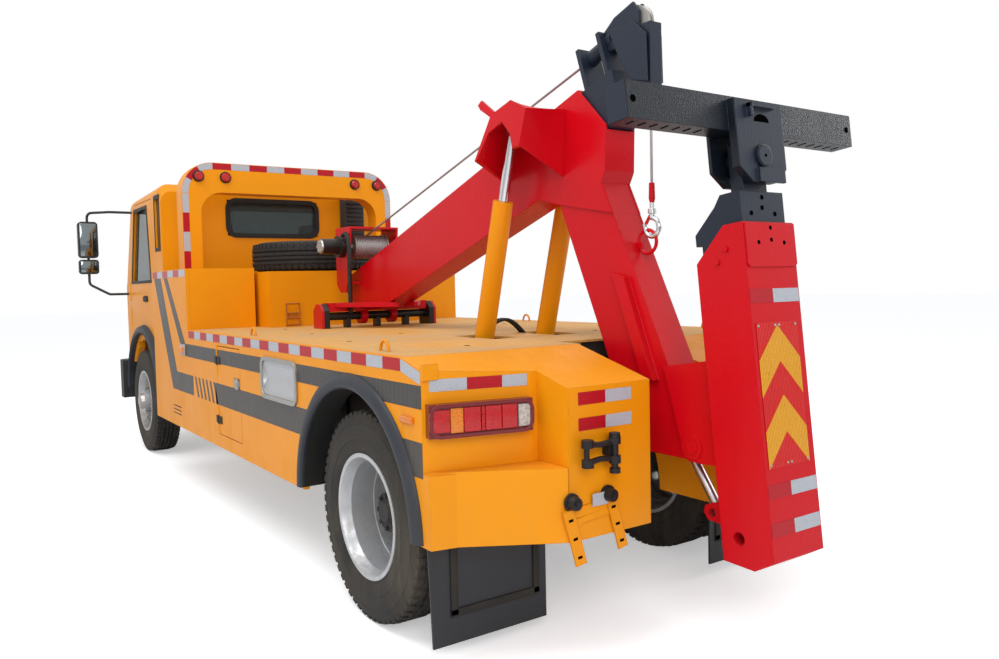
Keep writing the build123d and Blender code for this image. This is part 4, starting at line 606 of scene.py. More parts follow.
def film_column(x0, x1, low, high, side):
    lows = []
    for x in (x0, x1):
        away = abs(x - arch_centre[0])
        over = arch_centre[1] + sqrt(max(0, arch_reach ** 2 - away ** 2)) if away < arch_reach else 0
        lows.append(max(low, over))
    if max(lows) < high - 0.002:
        y = side * side_face
        add_plate(stripes, [at(x0, y, lows[0]), at(x1, y, lows[1]), at(x1, y, high),
                            at(x0, y, high)], (0, side * film_thick, 0))


for side in (1, -1):
    for first, last, low, high in ((2.785, -0.571, 1.01, 1.10), (2.62, -0.571, 0.745, 0.882)):
        steps = 96
        for index in range(steps):
            x0, x1 = (first + (last - first) * k / steps for k in (index, index + 1))
            if low < 0.9 and 2.10 < (x0 + x1) / 2 < 2.62:
                continue
            film_column(x0, x1, low, high, side)
    y = side * side_face
    for points in ([(3.67, 1.578), (3.46, 1.578), (3.06, 0.882), (2.62, 0.882), (2.62, 0.745), (3.19, 0.745)],
                   [(3.36, 1.578), (3.25, 1.578), (2.80, 1.10), (2.80, 1.03), (2.875, 1.03)]):
        add_plate(stripes, [at(x, y, z) for x, z in points], (0, side * film_thick, 0))
    for index in range(6):
        x = 2.575 - index * 0.088
        add_plate(stripes, [at(x, y, 0.882), at(x - 0.036, y, 0.882), at(x - 0.096, y, 0.745),
                            at(x - 0.060, y, 0.745)], (0, side * film_thick, 0))
add_piece("side_stripes", stripes, film, "root", smooth=False)


# Lamps
# Each rear lamp is a red moulded housing on a black gasket, with seven lenses side by side: red, amber,
# red, a ridged strip, red, red and clear. Round marker lamps sit in black bezels on the light arch, amber
# ones on the side.
def lens_finish(name, colour, pitch, glow=0.0):
    finish, tree, shader, place = new_finish(name)
    ribs = add_node(tree, "TexVoronoi", Scale=1 / pitch)
    ramp = add_node(tree, "ValToRGB")
    ramp.color_ramp.elements[0].color = (*[value * 1.15 for value in colour], 1)
    ramp.color_ramp.elements[1].color = (*[value * 0.6 for value in colour], 1)
    ramp.color_ramp.elements[1].position = 0.8
    bump = add_node(tree, "Bump", Distance=0.0008, Strength=0.4)
    join(place, "Object", ribs, "Vector")
    join(ribs, "Distance", ramp, "Fac")
    join(ribs, "Distance", bump, "Height")
    join(ramp, "Color", shader, "Base Color")
    join(bump, 0, shader, "Normal")
    shader.inputs["Roughness"].default_value = 0.12
    shader.inputs["Coat Weight"].default_value = 0.15
    shader.inputs["Emission Color"].default_value = (*colour, 1)
    shader.inputs["Emission Strength"].default_value = glow
    return finish


lens_red = lens_finish("lens_red", (0.50, 0.001, 0.004), 0.006, 0.08)
lens_amber = lens_finish("lens_amber", (0.75, 0.20, 0.006), 0.005, 0.05)
lens_clear = lens_finish("lens_clear", (0.52, 0.48, 0.44), 0.010)
gasket = enamel("black_gasket", (0.012, 0.012, 0.012), 0.12, rough=0.5)
# Flat near-black with no sheen, laid as thin patches over holes, slots and openings: painted shade.
painted_shade_black = enamel("painted_shade_black", (0.002, 0.002, 0.002), 0, rough=0.9, shine=0)


def soft_block(mesh, low, high, edge, turn=None):
    made = add_block(mesh, low, high)
    edges = list({link for vert in made for link in vert.link_edges})
    out = bmesh.ops.bevel(mesh, geom=edges, offset=edge, offset_type="OFFSET", segments=3, profile=0.5,
            affect="EDGES", material=-1, clamp_overlap=True)
    verts = list({vert for face in out["faces"] for vert in face.verts} | {vert
            for vert in made if vert.is_valid})
    if turn is not None:
        bmesh.ops.transform(mesh, matrix=turn, verts=verts)


def rounded_ring(mesh, place, sides, radius, width, thick):
    """A flat frame with round corners: place turns two numbers into a point on its face."""
    low_a, high_a, low_b, high_b = sides
    loops = []
    for inset in (0.0, width):
        bend = max(radius - inset, 0.004)
        corners = ((high_a - inset - bend, high_b - inset - bend, 0),
                   (low_a + inset + bend, high_b - inset - bend, 90),
                   (low_a + inset + bend, low_b + inset + bend, 180),
                   (high_a - inset - bend, low_b + inset + bend, 270))
        loops.append([place(a + bend * cos(radians(start + 15 * step)),
                            b + bend * sin(radians(start + 15 * step)))
                      for a, b, start in corners for step in range(7)])
    outer, inner = loops
    for index in range(len(outer)):
        after = (index + 1) % len(outer)
        add_plate(mesh, [outer[index], outer[after], inner[after], inner[index]], thick)


lens_rows = ((0.203, 0.132, "red"), (0.130, 0.078, "amber"), (0.076, 0.006, "red"), (0.004, -0.010, "strip"),
             (-0.012, -0.080, "red"), (-0.082, -0.146, "red"), (-0.152, -0.203, "clear"))
for side, hand in ((1, "left"), (-1, "right")):
    lens_meshes = {"red": bmesh.new(), "amber": bmesh.new(), "clear": bmesh.new(), "rim": bmesh.new()}
    outward = Vector((-0.9784, side * 0.2066, 0))
    outer_way = Vector((0.2066, side * 0.9784, 0))
    centre = at(-0.6391, side * 0.9051, 0.966) + outward * 0.020
    frame_turn = Matrix.Translation(centre) @ Matrix(
        (outer_way, outward, Vector((0, 0, 1)))).transposed().to_4x4()
    for first, last, kind in lens_rows:
        key = "red" if kind == "strip" else kind
        height = 0.048 if abs(first) < 0.2 and abs(last) < 0.15 else 0.044
        soft_block(lens_meshes[key], (last, -0.002, -height), (first, 0.007, height), 0.004, turn=frame_turn)
        if kind == "strip":
            for row in range(7):
                soft_block(lens_meshes[key], (last, 0.006, -0.040 + row * 0.012),
                           (first, 0.010, -0.033 + row * 0.012), 0.002, turn=frame_turn)
    rounded_ring(lens_meshes["rim"], lambda a, b: frame_turn @ Vector((a, 0, b)),
                 (-0.2165, 0.2165, -0.0655, 0.0655), 0.045, 0.014, outward * 0.011)
    soft_block(lens_meshes["amber"], at(-0.515, side * side_face - 0.001, 0.946),
               at(-0.410, side * side_face + 0.001, 0.974), 0.0005)
    add_piece("rear_lamp_red_" + hand, lens_meshes["red"], lens_red, "root")
    add_piece("rear_lamp_amber_" + hand, lens_meshes["amber"], lens_amber, "root")
    add_piece("rear_lamp_clear_" + hand, lens_meshes["clear"], lens_clear, "root")
    add_piece("rear_lamp_rim_" + hand, lens_meshes["rim"], housing_red, "root")
arch_lenses, arch_bezels = bmesh.new(), bmesh.new()
for y, z in ((0.794, 2.395), (-0.794, 2.395), (0.577, 2.394), (-0.577, 2.394)):
    add_pin(arch_bezels, at(arch_rear, y, z), at(3.487, y, z), 0.047, sides=32, end_radius=0.043)
    add_pin(arch_lenses, at(3.487, y, z), at(3.474, y, z), 0.036, sides=32, end_radius=0.026)
add_piece("arch_lamp_lenses", arch_lenses, lens_red, "root")
add_piece("arch_lamp_bezels", arch_bezels, gasket, "root")


# Arm's board, tapes and doubler
# The arm's rear face carries a ribbed reflective board with two amber chevrons on red, riveted at its
# corners, three lengths of tape, and a welded doubler plate with four bolt holes at its top.
def on_arm(up, y, out=0.0):
    return at(-1.407 + 0.10505 * up - 0.99447 * out, y, 0.440 + 0.99447 * up + 0.10505 * out)


rear_way = on_arm(0, 0, 1) - on_arm(0, 0, 0)


def board_finish(name, colour):
    finish = tape_finish(name, colour)
    tree = finish.node_tree
    place = next(node for node in tree.nodes if node.type == "TEX_COORD")
    ribs = add_node(tree, "TexWave")
    ribs.bands_direction = "Y"
    ribs.inputs["Scale"].default_value = 36
    bump = add_node(tree, "Bump", Distance=0.0012, Strength=0.8)
    join(place, "Object", ribs, "Vector")
    join(ribs, "Fac", bump, "Height")
    shader = tree.nodes["Principled BSDF"]
    join(bump, 0, shader, "Normal")
    under = shader.inputs["Base Color"].links[0].from_socket
    line = add_node(tree, "MixRGB")
    line.blend_type = "MULTIPLY"
    line.inputs["Color2"].default_value = (0.62, 0.55, 0.5, 1)
    dark = add_node(tree, "Math")
    dark.operation = "LESS_THAN"
    dark.inputs[1].default_value = 0.16
    join(ribs, "Fac", dark, 0)
    join(dark, 0, line, "Fac")
    tree.links.new(under, line.inputs["Color1"])
    join(line, 0, shader, "Base Color")
    return finish


board_red = board_finish("board_red", (0.68, 0.006, 0.004))
board_amber = board_finish("board_amber", (0.80, 0.36, 0.01))
board_left, board_right, board_low, board_high = 0.130, -0.114, 0.340, 0.878
board = bmesh.new()
add_plate(board,
          [on_arm(board_low, board_left), on_arm(board_low, board_right), on_arm(board_high, board_right),
           on_arm(board_high, board_left)], rear_way * 0.0022)
add_piece("arm_board", board, board_red, "folding_arm", smooth=False)
chevrons = bmesh.new()
tall = board_high - board_low
middle_y = (board_left + board_right) / 2
for drop in (0.0, 0.49):
    add_plate(chevrons, [on_arm(board_high - tall * (share + drop), y, 0.0022) for share, y in (
        (0.02, middle_y), (0.26, board_right), (0.515, board_right), (0.275, middle_y), (0.515, board_left),
        (0.26, board_left))], rear_way * 0.0006)
add_piece("arm_chevrons", chevrons, board_amber, "folding_arm", smooth=False)
rivets = bmesh.new()
for up in (board_low + 0.012, board_high - 0.012):
    for y in (board_left - 0.012, middle_y + 0.012, middle_y - 0.012, board_right + 0.012):
        add_pin(rivets, on_arm(up, y, 0.002), on_arm(up, y, 0.006), 0.006, sides=12, end_radius=0.003)
add_piece("board_rivets", rivets, bright, "folding_arm")
arm_red, arm_white = bmesh.new(), bmesh.new()
for low_edge in (0.952, 0.230, 0.090):
    for mesh, start_y, end_y in ((arm_red, 0.146, 0.012), (arm_white, 0.012, -0.145)):
        add_plate(mesh, [on_arm(low_edge, start_y), on_arm(low_edge, end_y), on_arm(low_edge + 0.052, end_y),
                         on_arm(low_edge + 0.052, start_y)], rear_way * tape_thick)
add_piece("arm_tape_red", arm_red, tape_red, "folding_arm", smooth=False)
add_piece("arm_tape_white", arm_white, tape_white, "folding_arm", smooth=False)
doubler = bmesh.new()
add_plate(doubler, [on_arm(1.252, 0.146), on_arm(1.098, 0.146), on_arm(1.086, 0.134), on_arm(1.086, -0.134),
                    on_arm(1.098, -0.146), on_arm(1.252, -0.146)], rear_way * 0.008)
add_piece("arm_doubler", doubler, scarlet, "folding_arm", smooth=False)
# The doubler's four bolt holes are thin near-black discs on its face: painted shade for the bores.
painted_bore_shade = bmesh.new()
for up, y in ((1.234, 0.0), (1.188, 0.0), (1.178, 0.076), (1.178, -0.076)):
    add_pin(painted_bore_shade, on_arm(up, y, 0.0075), on_arm(up, y, 0.0085), 0.0085, sides=20)
add_piece("arm_bolt_holes", painted_bore_shade, painted_shade_black, "folding_arm", smooth=False)
arm_bolts = bmesh.new()
for side in (1, -1):
    for up, fore in ((1.165, 0.085), (1.120, 0.130)):
        start = on_arm(up, side * 0.150, -fore)
        add_pin(arm_bolts, start, start + Vector((0, side * 0.008, 0)), 0.011, sides=6)
    add_pin(arm_bolts, at(-0.986, side * 0.106, 0.800), at(-0.986, side * 0.110, 0.800), 0.052, sides=36)
add_piece("arm_side_bolts", arm_bolts, scarlet, "folding_arm")


# Crossbar fittings
# The pebbled bar has smooth end plates with a pin hole, seven slots in each half of its underside, and on
# its clevis plate a half-moon window under a welded bracket, a pivot cap with a centre bolt, and a lower
# tab.
# The underside slots, the end plates' pin holes and the half-moon window are thin near-black patches: painted
# shade for these openings. The centre bolt's hex is drawn in the same painted-shade black.
cross_painted_shade, cross_trim = bmesh.new(), bmesh.new()
for side in (1, -1):
    for count in range(7):
        y = side * (0.605 - 0.0575 * count)
        soft_block(cross_painted_shade, (-0.019, -0.0045, -0.0006), (0.019, 0.0045, 0.0006), 0.0004,
                   turn=Matrix.Translation(on_arm(1.6028, y, -0.077)) @ Matrix.Rotation(radians(6.03), 4,
                "Y"))
    add_pin(cross_painted_shade, on_arm(1.673, side * 0.628, -0.0292), on_arm(1.673, side * 0.628, -0.0284), 0.013,
            sides=24)
    add_plate(cross_trim,
              [on_arm(1.604, side * 0.6584, -0.030), on_arm(1.735, side * 0.6584, -0.030),
               on_arm(1.735, side * 0.6584, -0.123),
               on_arm(1.604, side * 0.6584, -0.123)], Vector((0, side * 0.004, 0)))
clevis = [(0.1385, 1.7195), (0.1385, 1.4635), (0.0685, 1.4095), (-0.0685, 1.4095), (-0.1385, 1.4635),
          (-0.1385, 1.7195)]
add_plate(cross_trim, [on_arm(up, y, 0.0032) for y, up in clevis], rear_way * 0.0018)
half_moon = [on_arm(1.640 + 0.030 * sin(pi * k / 12), -0.01 + 0.045 * cos(pi * k / 12), 0.0051)
             for k in range(13)]
add_plate(cross_painted_shade, half_moon, rear_way * 0.0006)
for up0, up1, y0, y1, proud in ((1.690, 1.704, 0.072, -0.072, 0.022), (1.655, 1.704, 0.072, 0.058, 0.022),
        (1.408, 1.462, 0.040, -0.112, 0.014)):
    add_plate(cross_trim,
              [on_arm(up0, y0, 0.003), on_arm(up0, y1, 0.003), on_arm(up1, y1, 0.003),
               on_arm(up1, y0, 0.003)], rear_way * proud)
add_pin(cross_trim, on_arm(1.5083, 0, 0.014), on_arm(1.5083, 0, 0.019), 0.041, sides=36, end_radius=0.038)
add_pin(cross_painted_shade, on_arm(1.5083, 0, 0.0188), on_arm(1.5083, 0, 0.0196), 0.007, sides=6)
add_piece("crossbar_trim", cross_trim, slate, "crossbar")
add_piece("crossbar_openings", cross_painted_shade, painted_shade_black, "crossbar", smooth=False)
# The second stage's bolt holes are thin near-black discs: painted shade for the bores.
stage_hole_shade = bmesh.new()
for up, y in ((1.355, 0.0), (1.315, 0.004), (1.293, 0.070), (1.293, -0.070)):
    add_pin(stage_hole_shade, on_arm(up, y, -0.0168), on_arm(up, y, -0.0160), 0.0095, sides=20)
add_piece("stage_bolt_holes", stage_hole_shade, painted_shade_black, "second_stage", smooth=False)


# Winch rope
# A 12 mm steel rope winds on the drum, runs up beside the boom into the head's tube, over the sheave and
# down to its hook. It is taut, so it is straight between the drum, the tube, the sheave and the ferrule.
drum_x, drum_z, wrap_radius, groove_radius = 2.12, 1.765, 0.076, 0.079


def add_tube(mesh, points, radius, sides=12):
    loops = []
    for index, point in enumerate(points):
        before, after = points[max(index - 1, 0)], points[min(index + 1, len(points) - 1)]
        facing = (after - before).to_track_quat("Z", "Y").to_matrix().to_4x4()
        ring = bmesh.ops.create_circle(mesh, cap_ends=False, segments=sides, radius=radius)["verts"]
        bmesh.ops.transform(mesh, matrix=Matrix.Translation(point) @ facing, verts=ring)
        loops.append(list({link for vert in ring for link in vert.link_edges}))
    for near, far in zip(loops, loops[1:]):
        bmesh.ops.bridge_loops(mesh, edges=near + far)
    bmesh.ops.holes_fill(mesh, edges=loops[0] + loops[-1])


rope_steel = enamel("rope_steel", (0.34, 0.32, 0.32), 0.5, rough=0.42, dust_colour=(0.3, 0.1, 0.08),
                    peel=0.003, grain=190, metal=0.7)
drum_side = at(2.144, 0, 1.841)
tube_end = at(-0.277, 0, 2.517)
rope_run = bmesh.new()
add_tube(rope_run, [drum_side.lerp(tube_end, step / 40) for step in range(41)], 0.006)
run = add_piece("rope_run", rope_run, rope_steel, None)
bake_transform(run)
wheel_middle = at(-0.599, 0, 2.5996)
rope_over = bmesh.new()
sheave_turn = [wheel_middle + Vector((-groove_radius * cos(radians(angle)), 0,
        groove_radius * sin(radians(angle)))) for angle in range(0, 109, 9)]
add_tube(rope_over, [tube_end, tube_end.lerp(sheave_turn[-1], 0.5)] + sheave_turn[::-1], 0.006)
add_piece("rope_over_sheave", rope_over, rope_steel, "swivel_head")
hang_x = wheel_middle.x - groove_radius
high_end, half_way, low_end = (Vector((hang_x, 0, height)) for height in (2.5996, 2.200, 1.900))
rope_high, rope_low = bmesh.new(), bmesh.new()
add_tube(rope_high, [high_end.lerp(half_way, step / 16) for step in range(17)], 0.006)
add_tube(rope_low, [half_way.lerp(low_end, step / 12) for step in range(13)], 0.006)
hanging = add_piece("rope_upper_fall", rope_high, rope_steel, None)
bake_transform(hanging)
fall = add_piece("rope_lower_fall", rope_low, rope_steel, None)
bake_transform(fall)
wraps = bmesh.new()
for count in range(19):
    y = -0.117 + 0.013 * count
    ring = [at(drum_x + wrap_radius * cos(2 * pi * k / 40), y, drum_z + wrap_radius * sin(2 * pi * k / 40))
            for k in range(41)]
    add_tube(wraps, ring, 0.0064, sides=8)
add_piece("drum_wraps", wraps, rope_steel, "winch_drum")


# Rope hook
# A red plastic sleeve covers the rope's ferrule. Below it hang a swivel shank and a plated hook with a red
# latch, which is hooked for travel into a red bar bail welded to the boom's leg.
hook_steel, hook_red = bmesh.new(), bmesh.new()
for mesh, top, foot, radius, foot_radius in (
        (hook_red, 1.905, 1.838, 0.0125, 0.0145), (hook_red, 1.838, 1.815, 0.0145, 0.009),
        (hook_steel, 1.820, 1.792, 0.010, None), (hook_steel, 1.792, 1.772, 0.0185, None),
        (hook_steel, 1.772, 1.750, 0.0125, None)):
    add_pin(mesh, (hang_x, 0, top), (hang_x, 0, foot), radius, 20, foot_radius)
bend = [Vector((hang_x + 0.040 * cos(radians(angle)), 0, 1.712 + 0.040 * sin(radians(angle))))
        for angle in range(90, 361, 10)]
add_tube(hook_steel, [Vector((hang_x, 0, 1.758))] + bend + [Vector((hang_x + 0.047, 0, 1.727))], 0.0115,
         sides=14)
latch = [(hang_x + 0.006, 0, 1.766), (hang_x + 0.016, 0, 1.766), (hang_x + 0.044, 0, 1.728),
         (hang_x + 0.036, 0, 1.722)]
add_plate(hook_red, [Vector(point) + Vector((0, -0.006, 0)) for point in latch], Vector((0, 0.012, 0)))
bail = [Vector((hang_x + 0.028 + 0.052 * cos(radians(angle)), 0, 1.650 + 0.052 * sin(radians(angle))))
        for angle in range(0, 361, 12)]
add_tube(hook_red, bail, 0.008)
add_block(hook_red, (hang_x + 0.058, -0.008, 1.622), (hang_x + 0.110, 0.008, 1.650))
hook_piece = add_piece("rope_hook_steel", hook_steel, chrome, "boom")
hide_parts("hook")
add_piece("rope_hook_red", hook_red, scarlet, "boom")


# Leg rails and welds
# A box rail is welded down each side of the boom's leg, and long fillet welds run beside it.
leg_rails = bmesh.new()
for side in (1, -1):
    foot = [at(x, side * 0.080, z) for x,
            z in ((-0.530, 1.515), (-0.606, 1.495), (-0.778, 1.052), (-0.702, 1.078))]
    add_plate(leg_rails, foot, Vector((0, side * 0.030, 0)))
    for near, far in (((-0.524, 1.517), (-0.696, 1.080)), ((-0.612, 1.493), (-0.784, 1.050)),
                      ((-0.452, 1.926), (-0.560, 1.700))):
        add_tube(leg_rails, [at(near[0], side * 0.081, near[1]), at(far[0], side * 0.081, far[1])], 0.004,
                 sides=8)
add_piece("leg_rails", leg_rails, scarlet, "boom", smooth=False)


# Side fittings
# Pressed filler recess in a bright frame, a plated marker lamp, toolbox hinges and oval paddle latches,
# thin louvres low on the front panel, and a latch box on the middle box.
for side, hand in ((1, "left"), (-1, "right")):
    wall = side * side_face
    frame_bright, inner_silver, louvre_slot_shade, markers = bmesh.new(), bmesh.new(), bmesh.new(), bmesh.new()

    def on_side(x, z, proud=0.0):
        return at(x, wall + side * proud, z)

    def side_block(mesh, x0, x1, z0, z1, proud, edge):
        low, high = on_side(x0, z0), on_side(x1, z1, proud)
        soft_block(mesh, (min(low.x, high.x), min(low.y, high.y), z0),
                   (max(low.x, high.x), max(low.y, high.y), z1), edge)

    rounded_ring(frame_bright, on_side, (0.668, 1.192, 0.880, 1.110), 0.055, 0.022,
                 Vector((0, side * 0.012, 0)))
    rounded_ring(inner_silver, on_side, (0.690, 1.170, 0.902, 1.088), 0.040, 0.090,
                 Vector((0, side * 0.002, 0)))
    side_block(inner_silver, 0.775, 1.085, 0.985, 1.005, 0.003, 0.001)
    side_block(inner_silver, 0.690, 1.170, 0.925, 1.065, 0.0015, 0.0006)
    side_block(frame_bright, 2.79, 2.92, 1.015, 1.095, 0.014, 0.006)
    side_block(markers, 2.805, 2.905, 1.030, 1.080, 0.020, 0.008)
    side_block(markers, -0.512, -0.412, 0.947, 0.973, 0.012, 0.004)
    # The louvres are thin black strips just proud of the panel: painted shade for the vent slits.
    for z0 in (0.560, 0.588, 0.616):
        side_block(louvre_slot_shade, 2.98, 3.20, z0, z0 + 0.007, 0.0015, 0.0006)
    add_piece("side_bright_" + hand, frame_bright, bright, "root")
    add_piece("filler_panel_" + hand, inner_silver, silver, "root")
    add_piece("side_louvres_" + hand, louvre_slot_shade, gasket, "root")
    add_piece("side_markers_" + hand, markers, lens_amber, "root")
    paddle = bmesh.new()
    rim = [on_side(1.650 + 0.052 * cos(pi * k / 16), 0.910 + 0.034 * sin(pi * k / 16)) for k in range(32)]
    add_plate(paddle, rim, Vector((0, side * 0.004, 0)))
    side_block(paddle, 1.628, 1.672, 0.890, 0.930, 0.012, 0.004)
    add_piece("toolbox_latch_" + hand, paddle, bright, "toolbox_door_" + hand)
    leaves, ends = bmesh.new(), bmesh.new()
    for z in (0.620, 1.000):
        add_pin(leaves, on_side(2.035, z + 0.002), on_side(2.035, z + 0.058), 0.0085, sides=16)
        side_block(leaves, 1.965, 2.028, z + 0.006, z + 0.054, 0.004, 0.001)
        side_block(ends, 2.042, 2.085, z + 0.006, z + 0.054, 0.004, 0.001)
    add_piece("toolbox_hinge_leaves_" + hand, leaves, gasket, "toolbox_door_" + hand)
    add_piece("toolbox_hinge_seats_" + hand, ends, gasket, "root")
# A wire rack for a padlock and its hasp stand on the middle box.
latch_rack = bmesh.new()
for y in (0.385, 0.487):
    add_tube(latch_rack, [at(2.470, y, 1.205), at(2.470, y, 1.300), at(2.478, y * 0.98 + 0.008, 1.370)],
             0.005, sides=8)
for z in (1.215, 1.262, 1.300, 1.368):
    add_tube(latch_rack, [at(2.472, 0.385, z), at(2.472, 0.487, z)], 0.005, sides=8)
add_block(latch_rack, at(2.470, 0.400, 1.262), at(2.486, 0.470, 1.290))
add_piece("middle_box_rack", latch_rack, enamel("rack_brown", (0.42, 0.12, 0.01), 0.3, coat=0.06), "root")


# Cab trim
# Black rubber seals run round every pane, the doors have black pull handles, and the air intake stands
# behind the cab.
seals = bmesh.new()


def seal_ring(mesh, outline, width, thick):
    centre = sum(outline, Vector()) / len(outline)
    inner = [point + (centre - point).normalized() * width for point in outline]
    for index in range(len(outline)):
        after = (index + 1) % len(outline)
        add_plate(mesh, [outline[index], outline[after], inner[after], inner[index]], thick)


rounded_ring(seals, lambda y, z: at(4.0, y, z), (-0.436, 0.436, 1.938, 2.287), 0.095, 0.040,
             Vector((-0.010, 0, 0)))
for side in (1, -1):
    seal_ring(seals,
              [at(x, side * 0.980, z) for x,
               z in ((4.045, 1.820), (4.235, 1.820), (4.235, 2.300),
                     (4.045, 2.300))], 0.035, Vector((0, side * 0.004, 0)))
add_piece("cab_window_seals", seals, gasket, "root", smooth=False)
for side, hand in ((1, "left"), (-1, "right")):
    door_trim = bmesh.new()
    seal_ring(door_trim,
              [at(x, side * 0.980, z) for x,
               z in ((4.435, 1.555), (5.275, 1.555), (5.048, 2.250),
                     (4.515, 2.250))], 0.040, Vector((0, side * 0.004, 0)))
    grip = at(4.690, side * 0.980, 1.412)
    soft_block(door_trim, grip + Vector((-0.085, -0.012, -0.024)), grip + Vector((0.085, 0.012, 0.024)),
               0.010)
    add_piece("cab_door_trim_" + hand, door_trim, gasket, "cab_door_" + hand)
intake = bmesh.new()
soft_block(intake, at(3.872, -0.845, 1.640), at(3.990, -0.645, 2.330), 0.012)
for row in range(10):
    soft_block(intake, at(3.862, -0.830, 1.900 + row * 0.040), at(3.874, -0.660, 1.918 + row * 0.040), 0.003)
add_piece("air_intake", intake, grained, "root")
wipers = bmesh.new()
for side in (1, -1):
    add_tube(wipers, [at(5.515, side * 0.20, 1.570), at(5.470, side * 0.48, 1.700)], 0.008, sides=8)
    add_tube(wipers, [at(5.478, side * 0.15, 1.690), at(5.478, side * 0.75, 1.690)], 0.006, sides=8)
add_piece("wipers", wipers, gasket, "root")


# Winch and pipes
# The winch motor ends in a plated cap. A pair of pipes feeds the lift cylinders in a low loop over the
# deck.
winch_low, winch_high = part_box("winch_frame")
motor_side = 1 if abs(winch_high[1]) > abs(winch_low[1]) else -1
motor_end = winch_high[1] if motor_side > 0 else winch_low[1]
motor_cap = bmesh.new()
add_pin(motor_cap, at(drum_x, motor_end, drum_z), at(drum_x, motor_end + motor_side * 0.012, drum_z), 0.050,
        sides=32, end_radius=0.044)
for count in range(6):
    angle = 2 * pi * count / 6
    x, z = drum_x + 0.036 * cos(angle), drum_z + 0.036 * sin(angle)
    add_pin(motor_cap, at(x, motor_end + motor_side * 0.010, z), at(x, motor_end + motor_side * 0.018, z),
            0.006, sides=6)
add_piece("winch_motor_cap", motor_cap, bright, "boom")
pipes = bmesh.new()
for shift in (0.0, 0.03):
    loop = [at(0.46 + shift - 0.02 * sin(pi * k / 14), 0.15 - 0.30 * k / 14,
                      1.196 + 0.085 * sin(pi * k / 14)) for k in range(15)]
    add_tube(pipes, loop, 0.009)
add_piece("lift_pipes", pipes, gasket, "root")


# Tail fittings
# Each tail box carries a forged shackle on a pin, two screwed knobs, and a pair of slotted hook straps on a
# cross plate. The bumper's face runs on from the body's corner to the box, with a ledge over it.
for side, hand in ((1, "left"), (-1, "right")):
    iron, straps, slots, sheets = bmesh.new(), bmesh.new(), bmesh.new(), bmesh.new()

    def on_tail(y, z, out=0.0):
        return at(tail_face - out, side * y, z)

    add_pin(iron, on_tail(0.455, 0.736, 0.045), on_tail(0.455, 0.888, 0.045), 0.014, sides=20)
    for z in (0.742, 0.880):
        add_pin(iron, on_tail(0.455, z - 0.010, 0.045), on_tail(0.455, z + 0.010, 0.045), 0.022, sides=20)
    for z, bow in ((0.862, -0.010), (0.786, 0.010)):
        add_tube(iron, [on_tail(0.455 + 0.140 * k / 8, z + bow * sin(pi * k / 8), 0.045) for k in range(9)],
                 0.012)
        for y in (0.455, 0.595):
            add_pin(iron, on_tail(y, z - 0.015, 0.045), on_tail(y, z + 0.015, 0.045), 0.024, sides=20)
    add_tube(iron,
             [on_tail(0.595, 0.786 + 0.076 * k / 6, 0.045 - 0.006 * sin(pi * k / 6)) for k in range(7)],
             0.011)
    add_plate(iron,
              [on_tail(0.480, 0.800), on_tail(0.430, 0.800), on_tail(0.430, 0.848), on_tail(0.480, 0.848)],
              Vector((-0.040, 0, 0)))
    for y, z in ((0.644, 0.636), (0.458, 0.640)):
        add_pin(iron, on_tail(y, z), on_tail(y, z, 0.012), 0.036, sides=28)
        add_pin(iron, on_tail(y, z, 0.012), on_tail(y, z, 0.040), 0.029, sides=28, end_radius=0.025)
        add_pin(iron, on_tail(y, z, 0.040), on_tail(y, z, 0.048), 0.012, sides=6)
    knobs = add_piece("tail_shackle_" + hand, iron, forged, "root")
    if side == 1:
        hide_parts("tail_brackets")
    for outline in (((0.694, 0.606), (0.640, 0.612), (0.578, 0.392), (0.630, 0.384)),
                    ((0.470, 0.622), (0.424, 0.628), (0.360, 0.420), (0.408, 0.410)),
                    ((0.690, 0.606), (0.427, 0.626), (0.415, 0.590), (0.676, 0.566)),
                    ((0.650, 0.566), (0.440, 0.590), (0.446, 0.560), (0.590, 0.545), (0.640, 0.520))):
        depth = 0.0055 if len(straps.faces) < 12 else 0.001 + 0.0005 * len(straps.faces) / 6
        add_plate(straps, [on_tail(y, z, depth) for y, z in outline],
                  Vector((-0.0085 if depth > 0.005 else -0.003, 0, 0)))
    # The slots in the hook straps are thin near-black plates on their face: painted shade for the openings.
    for top_y, top_z, low_y, low_z in ((0.667, 0.609, 0.604, 0.388), (0.447, 0.625, 0.384, 0.415)):
        for share in (0.18, 0.52, 0.86):
            y, z = top_y + (low_y - top_y) * share, top_z + (low_z - top_z) * share
            add_plate(slots, [on_tail(y + 0.011, z - 0.006, 0.0142), on_tail(y - 0.011, z - 0.004, 0.0142),
                              on_tail(y - 0.010, z + 0.007, 0.0142), on_tail(y + 0.012, z + 0.005, 0.0142)],
                      Vector((-0.0006, 0, 0)))
    add_piece("hook_straps_" + hand, straps, amber, "root", smooth=False)
    add_piece("hook_strap_slots_" + hand, slots, painted_shade_black, "root", smooth=False)
    bumper = [at(x, side * y, 0.4795) for x,
              y in ((-0.575, 1.1255), (-0.858, 0.652), (-0.670, 0.652), (-0.5735, 1.118))]
    add_plate(sheets, bumper, Vector((0, 0, 0.290)))
    add_block(sheets, at(-0.590, side * 1.093 - 0.033, 1.120), at(-0.570, side * 1.093 + 0.033, 1.182))
    add_piece("bumper_sheet_" + hand, sheets, amber, "root", smooth=False)


# Light arch, flares and liners
# The arch is a folded portal with round corners. The wheel openings have moulded rubber flares with a
# rolled outer lip and black liners behind them, and the cab's front wheels have a wider moulded flare.
def portal(half, top, radius, x):
    right = [at(x, half, 1.635)] + [
        at(x, half - radius + radius * cos(radians(7.5 * k)),
                  top - radius + radius * sin(radians(7.5 * k))) for k in range(13)]
    return right + [Vector((point.x, -point.y, point.z)) for point in reversed(right)]


